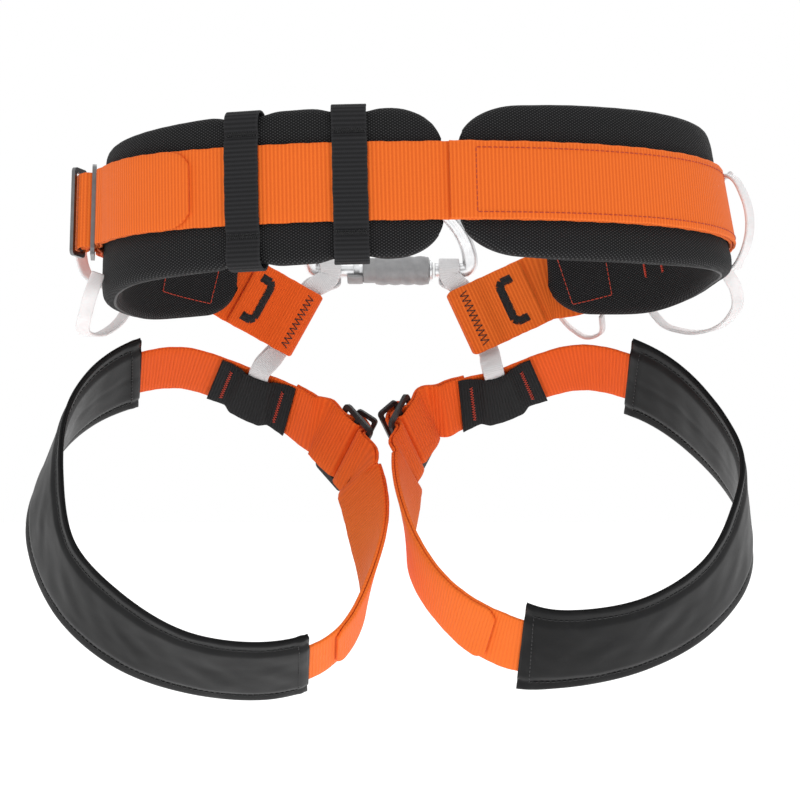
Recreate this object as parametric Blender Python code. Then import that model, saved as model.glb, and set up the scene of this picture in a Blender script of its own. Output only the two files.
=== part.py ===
"""A seat harness hung up by its padded waist belt: webbing belt and leg loops, half-round locking carabiner.
Metres, +Z up. The wearer faces +Y, so the padded back of the belt is at -Y and the carabiner at +Y."""

import math

import bmesh
import bpy
import numpy as np

# Webbing and padding
WEB_T = 0.0020
WEB_GAP = 0.0004
BELT_W = 0.045
LEG_W = 0.043
PAD_T = 0.012
LAYER = WEB_T + WEB_GAP
FIRST = WEB_GAP + WEB_T / 2
GRID = 0.010

# Waist ring: half width, half depth, squareness, turn about +Z, and its centre
RING_A = 0.187
RING_B = 0.116
RING_POWER = 2.3
RING_TURN = math.radians(8)
RING_CENTRE = (0.0150, 0.0, 0.0)
RING_SLOPE = 0.125
RING_SAG = 0.65
RING_DROOP = 0.15
RING_DROOP_X = 0.060
FLARE_MEAN = math.radians(6)
FLARE_SIDE = math.radians(4.5)

# Leg loops: each row is a place on the webbing's centre line and its flare in degrees
RIM_UP = np.array((0.0, -0.866, 0.5))
LEG_LEFT_CENTRE = (-0.113, 0.070, -0.190)
LEG_LEFT = (
    (-0.090, 0.133, -0.113, 13),
    (-0.138, 0.128, -0.097, 7),
    (-0.180, 0.114, -0.107, 0),
    (-0.210, 0.097, -0.137, -12),
    (-0.220, 0.074, -0.182, -24),
    (-0.206, 0.050, -0.227, -19),
    (-0.170, 0.030, -0.260, -15),
    (-0.123, 0.018, -0.280, -6),
    (-0.072, 0.015, -0.284, -3),
    (-0.035, 0.025, -0.271, 0),
    (-0.016, 0.046, -0.238, 6),
    (-0.015, 0.076, -0.195, 34),
    (-0.0275, 0.106, -0.157, 38),
    (-0.056, 0.127, -0.131, 24),
)
LEG_RIGHT_CENTRE = (0.113, 0.070, -0.185)
LEG_RIGHT = (
    (0.071, 0.133, -0.113, 13),
    (0.121, 0.128, -0.097, 12),
    (0.163, 0.117, -0.106, 9),
    (0.197, 0.101, -0.131, 4),
    (0.222, 0.078, -0.169, -4),
    (0.220, 0.054, -0.208, -16),
    (0.196, 0.034, -0.241, -14),
    (0.154, 0.018, -0.263, -12),
    (0.104, 0.013, -0.271, -15),
    (0.068, 0.018, -0.265, -22),
    (0.036, 0.030, -0.244, -12),
    (0.0150, 0.053, -0.213, -4),
    (0.0110, 0.083, -0.175, 20),
    (0.0165, 0.112, -0.143, 26),
    (0.036, 0.127, -0.125, 24),
)

# Carabiner
BAR_Y = 0.130
BAR_Z = -0.033
ROD_R = 0.005
ARC_R = 0.0525
ARC_CORNER = 0.0055
ARC_LEAN = math.radians(20)
STUB_END = 0.0285
PIN_X = -0.0265
GATE_R = 0.0047
GATE_BORE_R = 0.0024
GATE_START = -0.0205
GATE_STOP = 0.0279
BORE_STOP = -0.0150
EAR_END = -0.0228
SLOT_START = -0.0300
TONGUE_HALF = 0.0019
PIN_R = 0.0011
SLEEVE_R = 0.0083

MATERIALS = {
    "orange_webbing": ((0.90, 0.16, 0.03, 1), 0.0, 0.8),
    "black_webbing": ((0.02, 0.02, 0.02, 1), 0.0, 0.8),
    "pad_fabric": ((0.02, 0.02, 0.022, 1), 0.0, 0.9),
    "cover_vinyl": ((0.015, 0.015, 0.016, 1), 0.0, 0.35),
    "white_webbing": ((0.75, 0.74, 0.74, 1), 0.0, 0.8),
    "gear_loop_plastic": ((0.76, 0.73, 0.73, 1), 0.0, 0.6),
    "buckle_steel": ((0.35, 0.35, 0.36, 1), 1.0, 0.35),
    "buckle_black": ((0.03, 0.03, 0.03, 1), 0.6, 0.4),
    "aluminium": ((0.72, 0.73, 0.74, 1), 1.0, 0.3),
    "sleeve_grey": ((0.45, 0.45, 0.46, 1), 0.3, 0.45),
    "spring_steel": ((0.5, 0.5, 0.5, 1), 1.0, 0.3),
}


def clear_scene():
    for obj in list(bpy.data.objects):
        bpy.data.objects.remove(obj, do_unlink=True)


def material(name):
    found = bpy.data.materials.get(name)
    if found:
        return found
    colour, metallic, roughness = MATERIALS[name]
    made = bpy.data.materials.new(name)
    made.use_nodes = True
    shader = made.node_tree.nodes["Principled BSDF"]
    shader.inputs["Base Color"].default_value = colour
    shader.inputs["Metallic"].default_value = metallic
    shader.inputs["Roughness"].default_value = roughness
    return made


def add_mesh(name, points, faces, slot, smooth=True, origin=(0, 0, 0)):
    """Makes the named object, its origin at the given place, with the faces turned outwards."""
    shape = bmesh.new()
    corners = [shape.verts.new(tuple(np.asarray(p) - origin)) for p in points]
    for face in faces:
        shape.faces.new([corners[i] for i in face])
    bmesh.ops.recalc_face_normals(shape, faces=shape.faces)
    for face in shape.faces:
        face.smooth = smooth
    mesh = bpy.data.meshes.new(name)
    shape.to_mesh(mesh)
    shape.free()
    obj = bpy.data.objects.new(name, mesh)
    obj.location = origin
    obj.data.materials.append(material(slot))
    bpy.context.scene.collection.objects.link(obj)
    return obj


def unit(rows):
    rows = np.asarray(rows, float)
    return rows / np.linalg.norm(rows, axis=-1, keepdims=True)


def unit_or_zero(rows):
    size = np.linalg.norm(rows, axis=-1, keepdims=True)
    return rows / np.where(size > 0, size, 1)


def tangents(points, closed):
    if closed:
        ahead = np.roll(points, -1, 0) - points
        return unit(unit(ahead) + np.roll(unit(ahead), 1, 0))
    ends = np.vstack([points[:1], points, points[-1:]])
    return unit(unit_or_zero(ends[2:] - ends[1:-1]) + unit_or_zero(ends[1:-1] - ends[:-2]))


class Track:
    """A closed line with its direction, outward normal and width direction at every place along it."""

    def __init__(self, centres, widths, inside):
        step = np.linalg.norm(np.roll(centres, -1, 0) - centres, axis=1)
        self.at = np.concatenate([[0], np.cumsum(step)])
        self.length = self.at[-1]
        along = tangents(centres, True)
        widths = unit(widths - (widths * along).sum(1)[:, None] * along)
        outward = np.cross(along, widths)
        if (outward[0] * (centres[0] - inside)).sum() < 0:
            outward = -outward
        self.rows = [np.vstack([r, r[:1]]) for r in (centres, along, outward, widths)]

    def frame(self, places):
        """Centre, direction, outward normal and width direction at these distances along the line."""
        places = np.atleast_1d(places) % self.length
        found = [
            np.stack([np.interp(places, self.at, rows[:, i]) for i in range(3)], 1)
            for rows in self.rows
        ]
        return found[0], unit(found[1]), unit(found[2]), unit(found[3])

    def path(self, steps):
        """Points and width directions of a line of steps: distance along, outward and, if given, up."""
        steps = np.array([(*step, 0.0)[:3] for step in steps])
        centre, _, outward, width = self.frame(steps[:, 0])
        return centre + outward * steps[:, 1:2] + width * steps[:, 2:3], width


def spline(rows, steps):
    """A closed Catmull-Rom line through the rows."""
    rows = np.asarray(rows, float)
    t = (np.arange(steps) / steps)[:, None]
    out = []
    for i in range(len(rows)):
        a, b, c, d = (rows[(i + k) % len(rows)] for k in (-1, 0, 1, 2))
        curve = 2 * b + (c - a) * t + (2 * a - 5 * b + 4 * c - d) * t**2 + (3 * b - a - 3 * c + d) * t**3
        out.append(curve / 2)
    return np.vstack(out)


def smooth_line(rows, widths, steps=3):
    """An open Catmull-Rom line through the rows, with a width direction at every point."""
    padded = np.vstack([2 * rows[0] - rows[1], rows, 2 * rows[-1] - rows[-2]])
    out, across = [rows[0]], [widths[0]]
    for i in range(1, len(padded) - 2):
        a, b, c, d = padded[i - 1 : i + 3]
        for t in np.arange(1, steps + 1) / steps:
            curve = 2 * b + (c - a) * t + (2 * a - 5 * b + 4 * c - d) * t**2 + (3 * b - a - 3 * c + d) * t**3
            out.append(curve / 2)
            across.append(widths[i - 1] * (1 - t) + widths[i] * t)
    return np.array(out), np.array(across)


def waist_track():
    turn = np.linspace(0, 2 * math.pi, 721)[:-1]
    sine, cosine = np.sin(turn), np.cos(turn)
    side = RING_A * np.sign(sine) * np.abs(sine) ** (2 / RING_POWER)
    depth = -RING_B * np.sign(cosine) * np.abs(cosine) ** (2 / RING_POWER)
    x = side * math.cos(RING_TURN) - depth * math.sin(RING_TURN) + RING_CENTRE[0]
    y = side * math.sin(RING_TURN) + depth * math.cos(RING_TURN) + RING_CENTRE[1]
    z = -RING_SLOPE * y - RING_SAG * y**2 - RING_DROOP * (x - RING_DROOP_X) ** 2
    centres = np.stack([x, y, z], 1)
    outward = np.cross(tangents(centres, True), (0.0, 0.0, 1.0))
    flare = (FLARE_MEAN + FLARE_SIDE * sine)[:, None]
    widths = np.cos(flare) * np.array((0.0, 0.0, 1.0)) - np.sin(flare) * unit(outward)
    return Track(centres, widths, np.array(RING_CENTRE))


def leg_track(rows, centre):
    line = spline(rows, 24)
    centres = line[:, :3]
    flare = np.radians(line[:, 3:4])
    spoke = centres - centre
    spoke = unit(spoke - (spoke @ RIM_UP)[:, None] * RIM_UP)
    widths = np.cos(flare) * RIM_UP + np.sin(flare) * spoke
    return Track(centres, widths, np.array(centre))


def sides_of(points, widths, closed):
    along = tangents(points, closed)
    widths = unit(widths - (widths * along).sum(1)[:, None] * along)
    return widths, unit(np.cross(along, widths))


def loft(rings, closed):
    """Faces that join equal rings of corners, capped at both ends unless the rings meet up."""
    count, size = len(rings), len(rings[0])
    faces = []
    for i in range(count if closed else count - 1):
        a, b = i * size, (i + 1) % count * size
        for j in range(size):
            k = (j + 1) % size
            faces.append((a + j, a + k, b + k, b + j))
    if not closed:
        faces.append(tuple(range(size)))
        faces.append(tuple(range((count - 1) * size, count * size)))
    return np.vstack(rings), faces


def ribbon(name, line, low, high, thick, slot, closed=False, origin=(0, 0, 0)):
    """A flat strap along the line of (points, width directions), reaching low to high across."""
    points, widths = line
    widths, normals = sides_of(points, widths, closed)
    low = np.broadcast_to(low, len(points))[:, None]
    high = np.broadcast_to(high, len(points))[:, None]
    under, over = points - normals * thick / 2, points + normals * thick / 2
    corners = (under + widths * low, under + widths * high, over + widths * high, over + widths * low)
    rings = [np.stack([c[i] for c in corners]) for i in range(len(points))]
    shape, faces = loft(rings, closed)
    return add_mesh(name, shape, faces, slot, smooth=False, origin=origin)


def tube(name, line, radius_wide, radius_thin, sides, slot, closed=False, origin=(0, 0, 0)):
    """A round or oval rod along the line of (points, width directions)."""
    points, widths = line
    widths, normals = sides_of(points, widths, closed)
    wide = np.broadcast_to(radius_wide, len(points))[:, None]
    thin = np.broadcast_to(radius_thin, len(points))[:, None]
    turn = np.arange(sides) * 2 * math.pi / sides
    columns = [points + widths * wide * math.cos(a) + normals * thin * math.sin(a) for a in turn]
    rings = [np.stack([c[i] for c in columns]) for i in range(len(points))]
    shape, faces = loft(rings, closed)
    return add_mesh(name, shape, faces, slot, origin=origin)


def sleeve_shape(name, line, outer, inner, slot, origin=(0, 0, 0)):
    """A flat tube open at both ends: outer and inner are (half width, half thickness)."""
    points, widths = line
    widths, normals = sides_of(points, widths, False)

    def ring(i, size):
        signs = ((-1, -1), (1, -1), (1, 1), (-1, 1))
        return np.stack([points[i] + widths[i] * a * size[0] + normals[i] * b * size[1] for a, b in signs])

    count = len(points)
    shape = np.vstack([ring(i, outer) for i in range(count)] + [ring(i, inner) for i in range(count)])
    faces = []
    for base in (0, 4 * count):
        for i in range(count - 1):
            for j in range(4):
                k = (j + 1) % 4
                a = base + 4 * i
                faces.append((a + j, a + k, a + 4 + k, a + 4 + j))
    for end in (0, 4 * (count - 1)):
        for j in range(4):
            k = (j + 1) % 4
            faces.append((end + j, end + k, 4 * count + end + k, 4 * count + end + j))
    return add_mesh(name, shape, faces, slot, smooth=False, origin=origin)


def arc(middle, radius, start, stop, steps):
    """(along, outward) steps of an arc, its angles in degrees."""
    turn = np.radians(np.linspace(start, stop, steps))
    return [(middle[0] + radius * math.cos(a), middle[1] + radius * math.sin(a)) for a in turn]


def rounded_rectangle(half_x, half_y, radius, steps):
    out = []
    for sx, sy, start in ((1, 1, 0), (-1, 1, 90), (-1, -1, 180), (1, -1, 270)):
        for i in range(steps + 1):
            a = math.radians(start + 90 * i / steps)
            x, y = sx * (half_x - radius), sy * (half_y - radius)
            out.append((x + radius * math.cos(a), y + radius * math.sin(a)))
    return out


def frame_plate(name, place, long_axis, short_axis, outer, inner, thick, slot):
    """A flat ring of rounded outline. outer and inner are (half long, half short, corner radius)."""
    long_axis, short_axis = unit(long_axis), unit(short_axis)
    short_axis = unit(short_axis - (short_axis @ long_axis) * long_axis)
    normal = np.cross(long_axis, short_axis)
    place = np.asarray(place, float)

    def ring(size, level):
        return [
            place + long_axis * a + short_axis * b + normal * level
            for a, b in rounded_rectangle(*size, 3)
        ]

    rings = [ring(outer, -thick / 2), ring(outer, thick / 2), ring(inner, thick / 2), ring(inner, -thick / 2)]
    shape, faces = loft(rings, True)
    return add_mesh(name, shape, faces, slot, origin=place)


def turned(name, profile, place, axis, sides, slot):
    """A bored body of revolution. profile lists (distance along the axis, radius) round a closed section."""
    axis = unit(axis)
    across = unit(np.cross(axis, (0.0, 1.0, 0.02)))
    third = np.cross(axis, across)
    place = np.asarray(place, float)
    rings = []
    for i in range(sides):
        a = 2 * math.pi * i / sides
        spoke = across * math.cos(a) + third * math.sin(a)
        rings.append(np.stack([place + axis * h + spoke * r for h, r in profile]))
    shape, faces = loft(rings, True)
    return add_mesh(name, shape, faces, slot, origin=place)


def coil(name, start, axis, length, radius, wire, turns, sides, slot):
    axis = unit(axis)
    across = unit(np.cross(axis, (0.0, 1.0, 0.02)))
    third = np.cross(axis, across)
    turn = np.linspace(0, 2 * math.pi * turns, turns * 8 + 1)
    points = np.stack(
        [start + axis * length * i / (len(turn) - 1) + (across * math.cos(a) + third * math.sin(a)) * radius
         for i, a in enumerate(turn)]
    )
    widths = np.broadcast_to(axis, points.shape)
    return tube(name, (points, widths), wire, wire, sides, slot, origin=start)


# Waist belt: distances along the ring are from the middle of the back, positive towards +X
PAD_LEFT = (-0.0008, -0.393)
PAD_RIGHT = (0.0100, 0.392)
PAD_LEFT_TOP = (0.0425, 0.0435, 0.0410, 0.0370, 0.0335, 0.0360, 0.0360)
PAD_LEFT_LOW = (-0.0415, -0.0445, -0.0465, -0.0490, -0.0535, -0.0540, -0.0420)
PAD_RIGHT_TOP = (0.0435, 0.0468, 0.0480, 0.0475, 0.0400, 0.0370, 0.0360)
PAD_RIGHT_LOW = (-0.0400, -0.0435, -0.0430, -0.0400, -0.0370, -0.0435, -0.0370)
# How far along and how deep each pad's corners are rounded, at its back end and at its front end
PAD_LEFT_ENDS = ((0.028, 0.020), (0.020, 0.018))
PAD_RIGHT_ENDS = ((0.034, 0.021), (0.026, 0.020))
WAIST_BUCKLE = -0.254
REINFORCED = (0.0026, 0.325)
TAIL_END = -0.146
TOOL_LOOPS = {"inner": -0.0552, "outer": -0.1162}
TOOL_LOOP_W = 0.0200
TOOL_LOOP_T = 0.0014

# Front tabs: fold edge centre, width direction and direction from the pad to the fold
TABS = {
    "left": ((-0.0555, 0.1250, -0.0700), (0.487, 0.0, 0.873), (0.734, 0.480, -0.410)),
    "right": ((0.0450, 0.1250, -0.0690), (-0.42, 0.0, 0.906), (-0.835, 0.03, -0.387)),
}
CHANNEL_R = 0.0053
TAB_LENGTH = 0.0535
TAB_OVERLAP = 0.0465

# Buckles: bars of a flat frame and of the slider behind it, along the strap and outward
BAR_CENTRE = 0.0044
BAR_HALF = (0.0016, 0.0012)
FRAME_SHORT = 0.0150
FRAME_END = 0.0035
SLIDER_NEAR = (-0.0040, 0.0164)
SLIDER_FAR = (0.0075, 0.0106)
SLIDER_T = 0.0022
SLIDER_BAR = 0.0030
FOLD_R = 0.0033

# Tie-in loops: where each rounds the carabiner bar, and its webbing
TIE_X = {"left": -0.0396, "right": 0.0382}
TIE_W = 0.0135
TIE_T = 0.0020
TIE_BAR_R = 0.0071
TIE_HALF_GAP = 0.0013

# Leg loops
COVER_HALF = (0.0350, 0.0032)
COVER_SLOT = (0.0226, 0.0016)
COVER_SPAN = {"left": (0.079, 0.428), "right": (0.089, 0.412)}
KEEPER_HALF = 0.0275
LEG_TAIL = {"left": 0.448, "right": 0.432}
LEG_BUCKLE = {"left": 0.606, "right": 0.604}

GEAR_LOOP_W = 0.0042
GEAR_LOOP_T = 0.0012
REAR_TWIST = math.radians(35)
# Each gear loop: places along the ring, outward and up
GEAR_LOOPS = {
    "gear_loop_rear_right": ((0.2260, 0.0082, 0.0215), (0.2210, 0.0112, 0.0180), (0.2180, 0.0150, 0.0060),
                             (0.2180, 0.0160, -0.0060), (0.2200, 0.0110, -0.0240), (0.2260, 0.0028, -0.0345)),
    "gear_loop_rear_left": ((-0.300, 0.0077, 0.0180), (-0.300, 0.0210, 0.0130), (-0.300, 0.0285, -0.0060),
                            (-0.300, 0.0230, -0.0290), (-0.300, 0.0030, -0.0410)),
    "gear_loop_side_right": ((0.2600, 0.0038, -0.0310), (0.2650, 0.0095, -0.0410), (0.2710, 0.0120, -0.0500),
                             (0.2840, 0.0125, -0.0580), (0.3000, 0.0125, -0.0620), (0.3160, 0.0120, -0.0605),
                             (0.3270, 0.0095, -0.0540), (0.3330, 0.0042, -0.0400)),
    "gear_loop_side_left": ((-0.238, 0.0038, -0.0390), (-0.236, 0.0085, -0.0520), (-0.245, 0.0105, -0.0630),
                            (-0.2640, 0.0115, -0.0685), (-0.288, 0.0115, -0.0690), (-0.3060, 0.0105, -0.0655),
                            (-0.3165, 0.0080, -0.0570), (-0.3210, 0.0040, -0.0460)),
    "gear_loop_front_right": ((0.393, 0.0125, -0.0300), (0.389, 0.0135, -0.0410), (0.382, 0.0135, -0.0510),
                              (0.3735, 0.0130, -0.0570), (0.3655, 0.011, -0.0545), (0.3625, 0.0060, -0.0420)),
}


def pad(name, track, span, tops, bottoms, corners):
    """A pad whose upper and lower edges follow the given heights and whose ends are rounded."""
    ends = [0.0, 0.0012, 0.0035]
    places = sorted({*places_between(*span), *(min(span) + e for e in ends), *(max(span) - e for e in ends)})
    places = np.array(places if span[0] < span[1] else places[::-1])
    share = (places - span[0]) / (span[1] - span[0])
    length = abs(span[1] - span[0])
    rounding = 0
    for from_end, (reach, depth) in zip((share * length, (1 - share) * length), corners):
        rounding = rounding + (1 - np.sqrt(1 - (1 - np.clip(from_end / reach, 0, 1)) ** 2)) * depth
    knots = np.linspace(0, 1, len(tops))
    high = np.interp(share, knots, tops) - rounding
    low = np.interp(share, knots, bottoms) + rounding
    line = track.path([(s, -PAD_T / 2) for s in places])
    return ribbon(name, line, low, high, PAD_T, "pad_fabric")


def places_between(start, stop):
    """The ends and, between them, places shared by every layer, so that the layers stay parallel."""
    first, last = sorted((start, stop))
    shared = np.arange(math.ceil(first / GRID + 0.2), math.floor(last / GRID - 0.2) + 1) * GRID
    places = [first, *shared, last]
    return places if start < stop else places[::-1]


def straight(start, stop, outward):
    return [(s, outward) for s in places_between(start, stop)]


def joined(*lines):
    return np.vstack([points for points, _ in lines]), np.vstack([widths for _, widths in lines])


def tab_axes(side):
    fold, width, along = (np.array(v) for v in TABS[side])
    width = unit(width)
    along = unit(along - (along @ width) * width)
    facing = np.cross(along, width)
    return fold, width, along, facing if facing[1] < 0 else -facing


def tab_fold(side):
    """Points from the pad end of the tab, round the channel at its front, and back on the inner side."""
    fold, width, along, facing = tab_axes(side)
    middle = fold - along * (CHANNEL_R + WEB_T / 2)
    flat = LAYER / 2
    neck = CHANNEL_R * 0.9
    out = [(-TAB_LENGTH, -flat), (-0.036, -flat), (-0.0175, -flat), (-0.0118, -neck)]
    out += arc((0, 0), CHANNEL_R, -80, 80, 8)
    out += [(-0.0118, neck), (-0.0175, flat), (-0.036, flat), (-TAB_OVERLAP, flat)]
    points = np.array([middle + along * a + facing * n for a, n in out])
    return points, np.broadcast_to(width, points.shape)


class BucklePlace:
    """Flat axes at a place on a track: q runs towards the fixed strap, o outward, w across."""

    def __init__(self, track, place, towards_fixed, lift):
        centre, along, outward, width = (rows[0] for rows in track.frame(place))
        self.q, self.o, self.w = along * towards_fixed, outward, width
        self.centre = centre + outward * lift

    def points(self, steps):
        points = np.array([self.centre + self.q * q + self.o * o for q, o in steps])
        return points, np.broadcast_to(self.w, points.shape)


def fixed_strap_steps():
    """The fixed strap: in over the frame, round its middle bar, and back under itself."""
    out = [(0.022, -0.0006), (0.0145, -0.0009), (0.0105, -0.0006), (0.0045, 0.0004)]
    out += arc((0, BAR_CENTRE), FOLD_R, 275, 70, 9)
    return out + [(0.0058, 0.0052), (0.0090, 0.0021), (0.0110, 0.0016), (0.0150, 0.0016), (0.0220, 0.0018)]


def free_strap_steps():
    """The free strap: in under the frame's near bar, round the slider's far bar, and back the same way."""
    out = [(-0.0225, -0.0008), (-0.0150, -0.0009), (-0.0112, -0.0009), (-0.0085, 0.0000), (-0.0070, 0.0020)]
    out += [(-0.0064, 0.0045), (-0.0040, 0.0088), (0.0004, 0.0104)] + arc(SLIDER_FAR, FOLD_R, -110, 90, 8)
    out += [(0.0000, 0.0138), (-0.0062, 0.0116), (-0.0092, 0.0080), (-0.0098, 0.0056), (-0.0099, 0.0040)]
    return out + [(-0.0106, 0.0024), (-0.0122, 0.0016), (-0.0150, 0.0015), (-0.0240, 0.0017)]


def buckle(prefix, place, half_width, slots):
    """The three-bar frame and the slider of a strap adjuster."""
    window = half_width + 0.0012
    outer = (window + FRAME_END, FRAME_SHORT, 0.0035)
    shape = add_frame(f"{prefix}_frame", place.centre + place.o * BAR_CENTRE, place.w, place.q, outer,
                      (window, FRAME_SHORT - FRAME_END), BAR_HALF, slots[0])
    near, far = (place.centre + place.q * q + place.o * o for q, o in (SLIDER_NEAR, SLIDER_FAR))
    reach = np.linalg.norm(far - near) / 2
    sizes = ((window + SLIDER_BAR, reach + SLIDER_BAR / 2, 0.0028), (window, reach - SLIDER_BAR / 2, 0.0012))
    slide = frame_plate(f"{prefix}_slider", (near + far) / 2, place.w, far - near, *sizes, SLIDER_T, slots[1])
    return shape, slide


def add_frame(name, place, long_axis, short_axis, outer, window, bar, slot):
    """A flat ring with a bar across its middle: two windows, in one piece."""
    long_axis, short_axis = unit(long_axis), unit(short_axis)
    normal = np.cross(long_axis, short_axis)
    half_long, half_short = window
    levels = (-bar[1], bar[1])
    shape = bmesh.new()

    def corner(a, b, level):
        return shape.verts.new(tuple(long_axis * a + short_axis * b + normal * level))

    edge = rounded_rectangle(*outer, 3)
    grid_a = (-half_long, half_long)
    grid_b = (-half_short, -bar[0], bar[0], half_short)
    rims = [[corner(a, b, level) for a, b in edge] for level in levels]
    holes = []
    for low, high in ((0, 1), (2, 3)):
        outline = [(grid_a[0], grid_b[low]), (grid_a[1], grid_b[low]),
                   (grid_a[1], grid_b[high]), (grid_a[0], grid_b[high])]
        holes.append([[corner(a, b, level) for a, b in outline] for level in levels])
    for lower, upper in [rims, *holes]:
        for i in range(len(lower)):
            k = (i + 1) % len(lower)
            shape.faces.new((lower[i], lower[k], upper[k], upper[i]))
    for level in (0, 1):
        edges = []
        for loop in (rims[level], holes[0][level], holes[1][level]):
            edges += [shape.edges.get((loop[i], loop[(i + 1) % len(loop)])) for i in range(len(loop))]
        bmesh.ops.triangle_fill(shape, use_beauty=True, use_dissolve=False, edges=edges)
    bmesh.ops.recalc_face_normals(shape, faces=shape.faces)
    mesh = bpy.data.meshes.new(name)
    shape.to_mesh(mesh)
    shape.free()
    obj = bpy.data.objects.new(name, mesh)
    obj.location = tuple(place)
    mesh.materials.append(material(slot))
    bpy.context.scene.collection.objects.link(obj)
    return obj


def waist_belt(track):
    pad("pad_left", track, PAD_LEFT, PAD_LEFT_TOP, PAD_LEFT_LOW, PAD_LEFT_ENDS)
    pad("pad_right", track, PAD_RIGHT, PAD_RIGHT_TOP, PAD_RIGHT_LOW, PAD_RIGHT_ENDS)
    half = BELT_W / 2
    place = BucklePlace(track, WAIST_BUCKLE, -1, FIRST + 0.0010)
    free = place.points(free_strap_steps())
    tail = track.path(straight(TAIL_END, WAIST_BUCKLE + 0.044, FIRST + LAYER))
    back = track.path(straight(WAIST_BUCKLE + 0.042, 0.335, FIRST + 0.0002)
                      + [(0.345, 0.0024, -0.001), (0.355, 0.0036, -0.006), (0.365, 0.0052, -0.0115),
                         (0.375, 0.0068, -0.018)])
    line = joined(tail, (free[0][::-1], free[1]), back, tab_fold("right"))
    ribbon("waist_webbing", line, -half, half, WEB_T, "orange_webbing")

    fixed = place.points(fixed_strap_steps())
    fold = tab_fold("left")
    side = track.path([(-0.378, 0.0050, -0.017), (-0.362, 0.0031, -0.008), (-0.345, 0.0020, -0.002)]
                      + straight(-0.330, WAIST_BUCKLE - 0.040, FIRST))
    back_layer = track.path(straight(WAIST_BUCKLE - 0.042, WAIST_BUCKLE - 0.075, FIRST + LAYER))
    line = joined((fold[0][::-1], fold[1]), side, fixed, back_layer)
    ribbon("front_left_webbing", line, -half, half, WEB_T, "orange_webbing")
    buckle("waist_buckle", place, half, ("buckle_steel", "buckle_steel"))
    ribbon("belt_reinforcement", track.path(straight(*REINFORCED, FIRST + LAYER + 0.0002)),
           -half, half, WEB_T, "orange_webbing")
    for name, at in TOOL_LOOPS.items():
        tool_loop(f"tool_loop_{name}", track, at)


def tool_loop(name, track, at):
    """A flat strap once round the pad and the belt."""
    centre, along, outward, width = (rows[0] for rows in track.frame(at))
    knots = np.linspace(PAD_LEFT[0], PAD_LEFT[1], len(PAD_LEFT_TOP))[::-1]
    top = np.interp(at, knots, PAD_LEFT_TOP[::-1]) + 0.0016
    low = np.interp(at, knots, PAD_LEFT_LOW[::-1]) - 0.0016
    over = FIRST + WEB_T / 2 + 0.0007 + TOOL_LOOP_T / 2
    rest = 0.0009 + TOOL_LOOP_T / 2
    inner = -PAD_T - rest
    half = BELT_W / 2
    steps = [(top - 0.0012, inner), (top, inner + 0.0012), (top, rest - 0.0012), (top - 0.0012, rest),
             (half + 0.0045, rest), (half + 0.0015, over), (-half - 0.0015, over), (-half - 0.0045, rest),
             (low + 0.0012, rest), (low, rest - 0.0012), (low, inner + 0.0012), (low + 0.0012, inner)]
    points = np.array([centre + width * h + outward * o for h, o in steps])
    widths = np.broadcast_to(along, points.shape)
    half_wide = TOOL_LOOP_W / 2
    return ribbon(name, (points, widths), -half_wide, half_wide, TOOL_LOOP_T, "black_webbing", closed=True)


def tie_in_loop(side, leg):
    """A closed loop of webbing: over the carabiner bar, through the tab's channel, round the leg strap."""
    fold, width, along, facing = tab_axes(side)
    middle = fold - along * (CHANNEL_R + WEB_T / 2)
    centre, run, outward, across = (rows[0] for rows in leg.frame(0.0))
    bar = np.array((TIE_X[side], BAR_Y, BAR_Z))
    x_axis = np.array((1.0, 0.0, 0.0))
    turn = np.radians(np.linspace(-40, 200, 10))
    over_bar = [bar + np.array((0, 0.0012, -0.0080))]
    over_bar += [bar + np.array((0, math.cos(a), math.sin(a))) * TIE_BAR_R for a in turn]
    gap = facing * TIE_HALF_GAP
    middle = middle - along * 0.0037
    near = [middle + width * h + gap for h in (0.0240, 0.0, -0.0240)]
    far = [middle + width * h - gap for h in (-0.0240, 0.0, 0.0240)]
    radius = WEB_T / 2 + 0.0008 + TIE_T / 2
    inside = [centre + across * h - outward * radius for h in (0.0262, 0.010, -0.0225)]
    turn = np.radians(np.linspace(0, 180, 7)[1:-1])
    under = [centre - across * (0.0235 + radius * math.sin(a)) - outward * radius * math.cos(a) for a in turn]
    outside = [centre + across * h + outward * radius for h in (-0.0225, 0.010, 0.0262)]
    points = np.array(over_bar + near + inside + under + outside + far)
    lateral = unit(np.cross(width, facing))
    lateral = lateral if lateral[0] > 0 else -lateral
    run = run if run[0] > 0 else -run
    widths = np.array([x_axis] * len(over_bar) + [lateral] * 3 + [run] * (3 + len(under) + 3) + [lateral] * 3)
    half_wide = TIE_W / 2
    line = (points, widths)
    return ribbon(f"tie_in_loop_{side}", line, -half_wide, half_wide, TIE_T, "white_webbing", closed=True)


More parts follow.
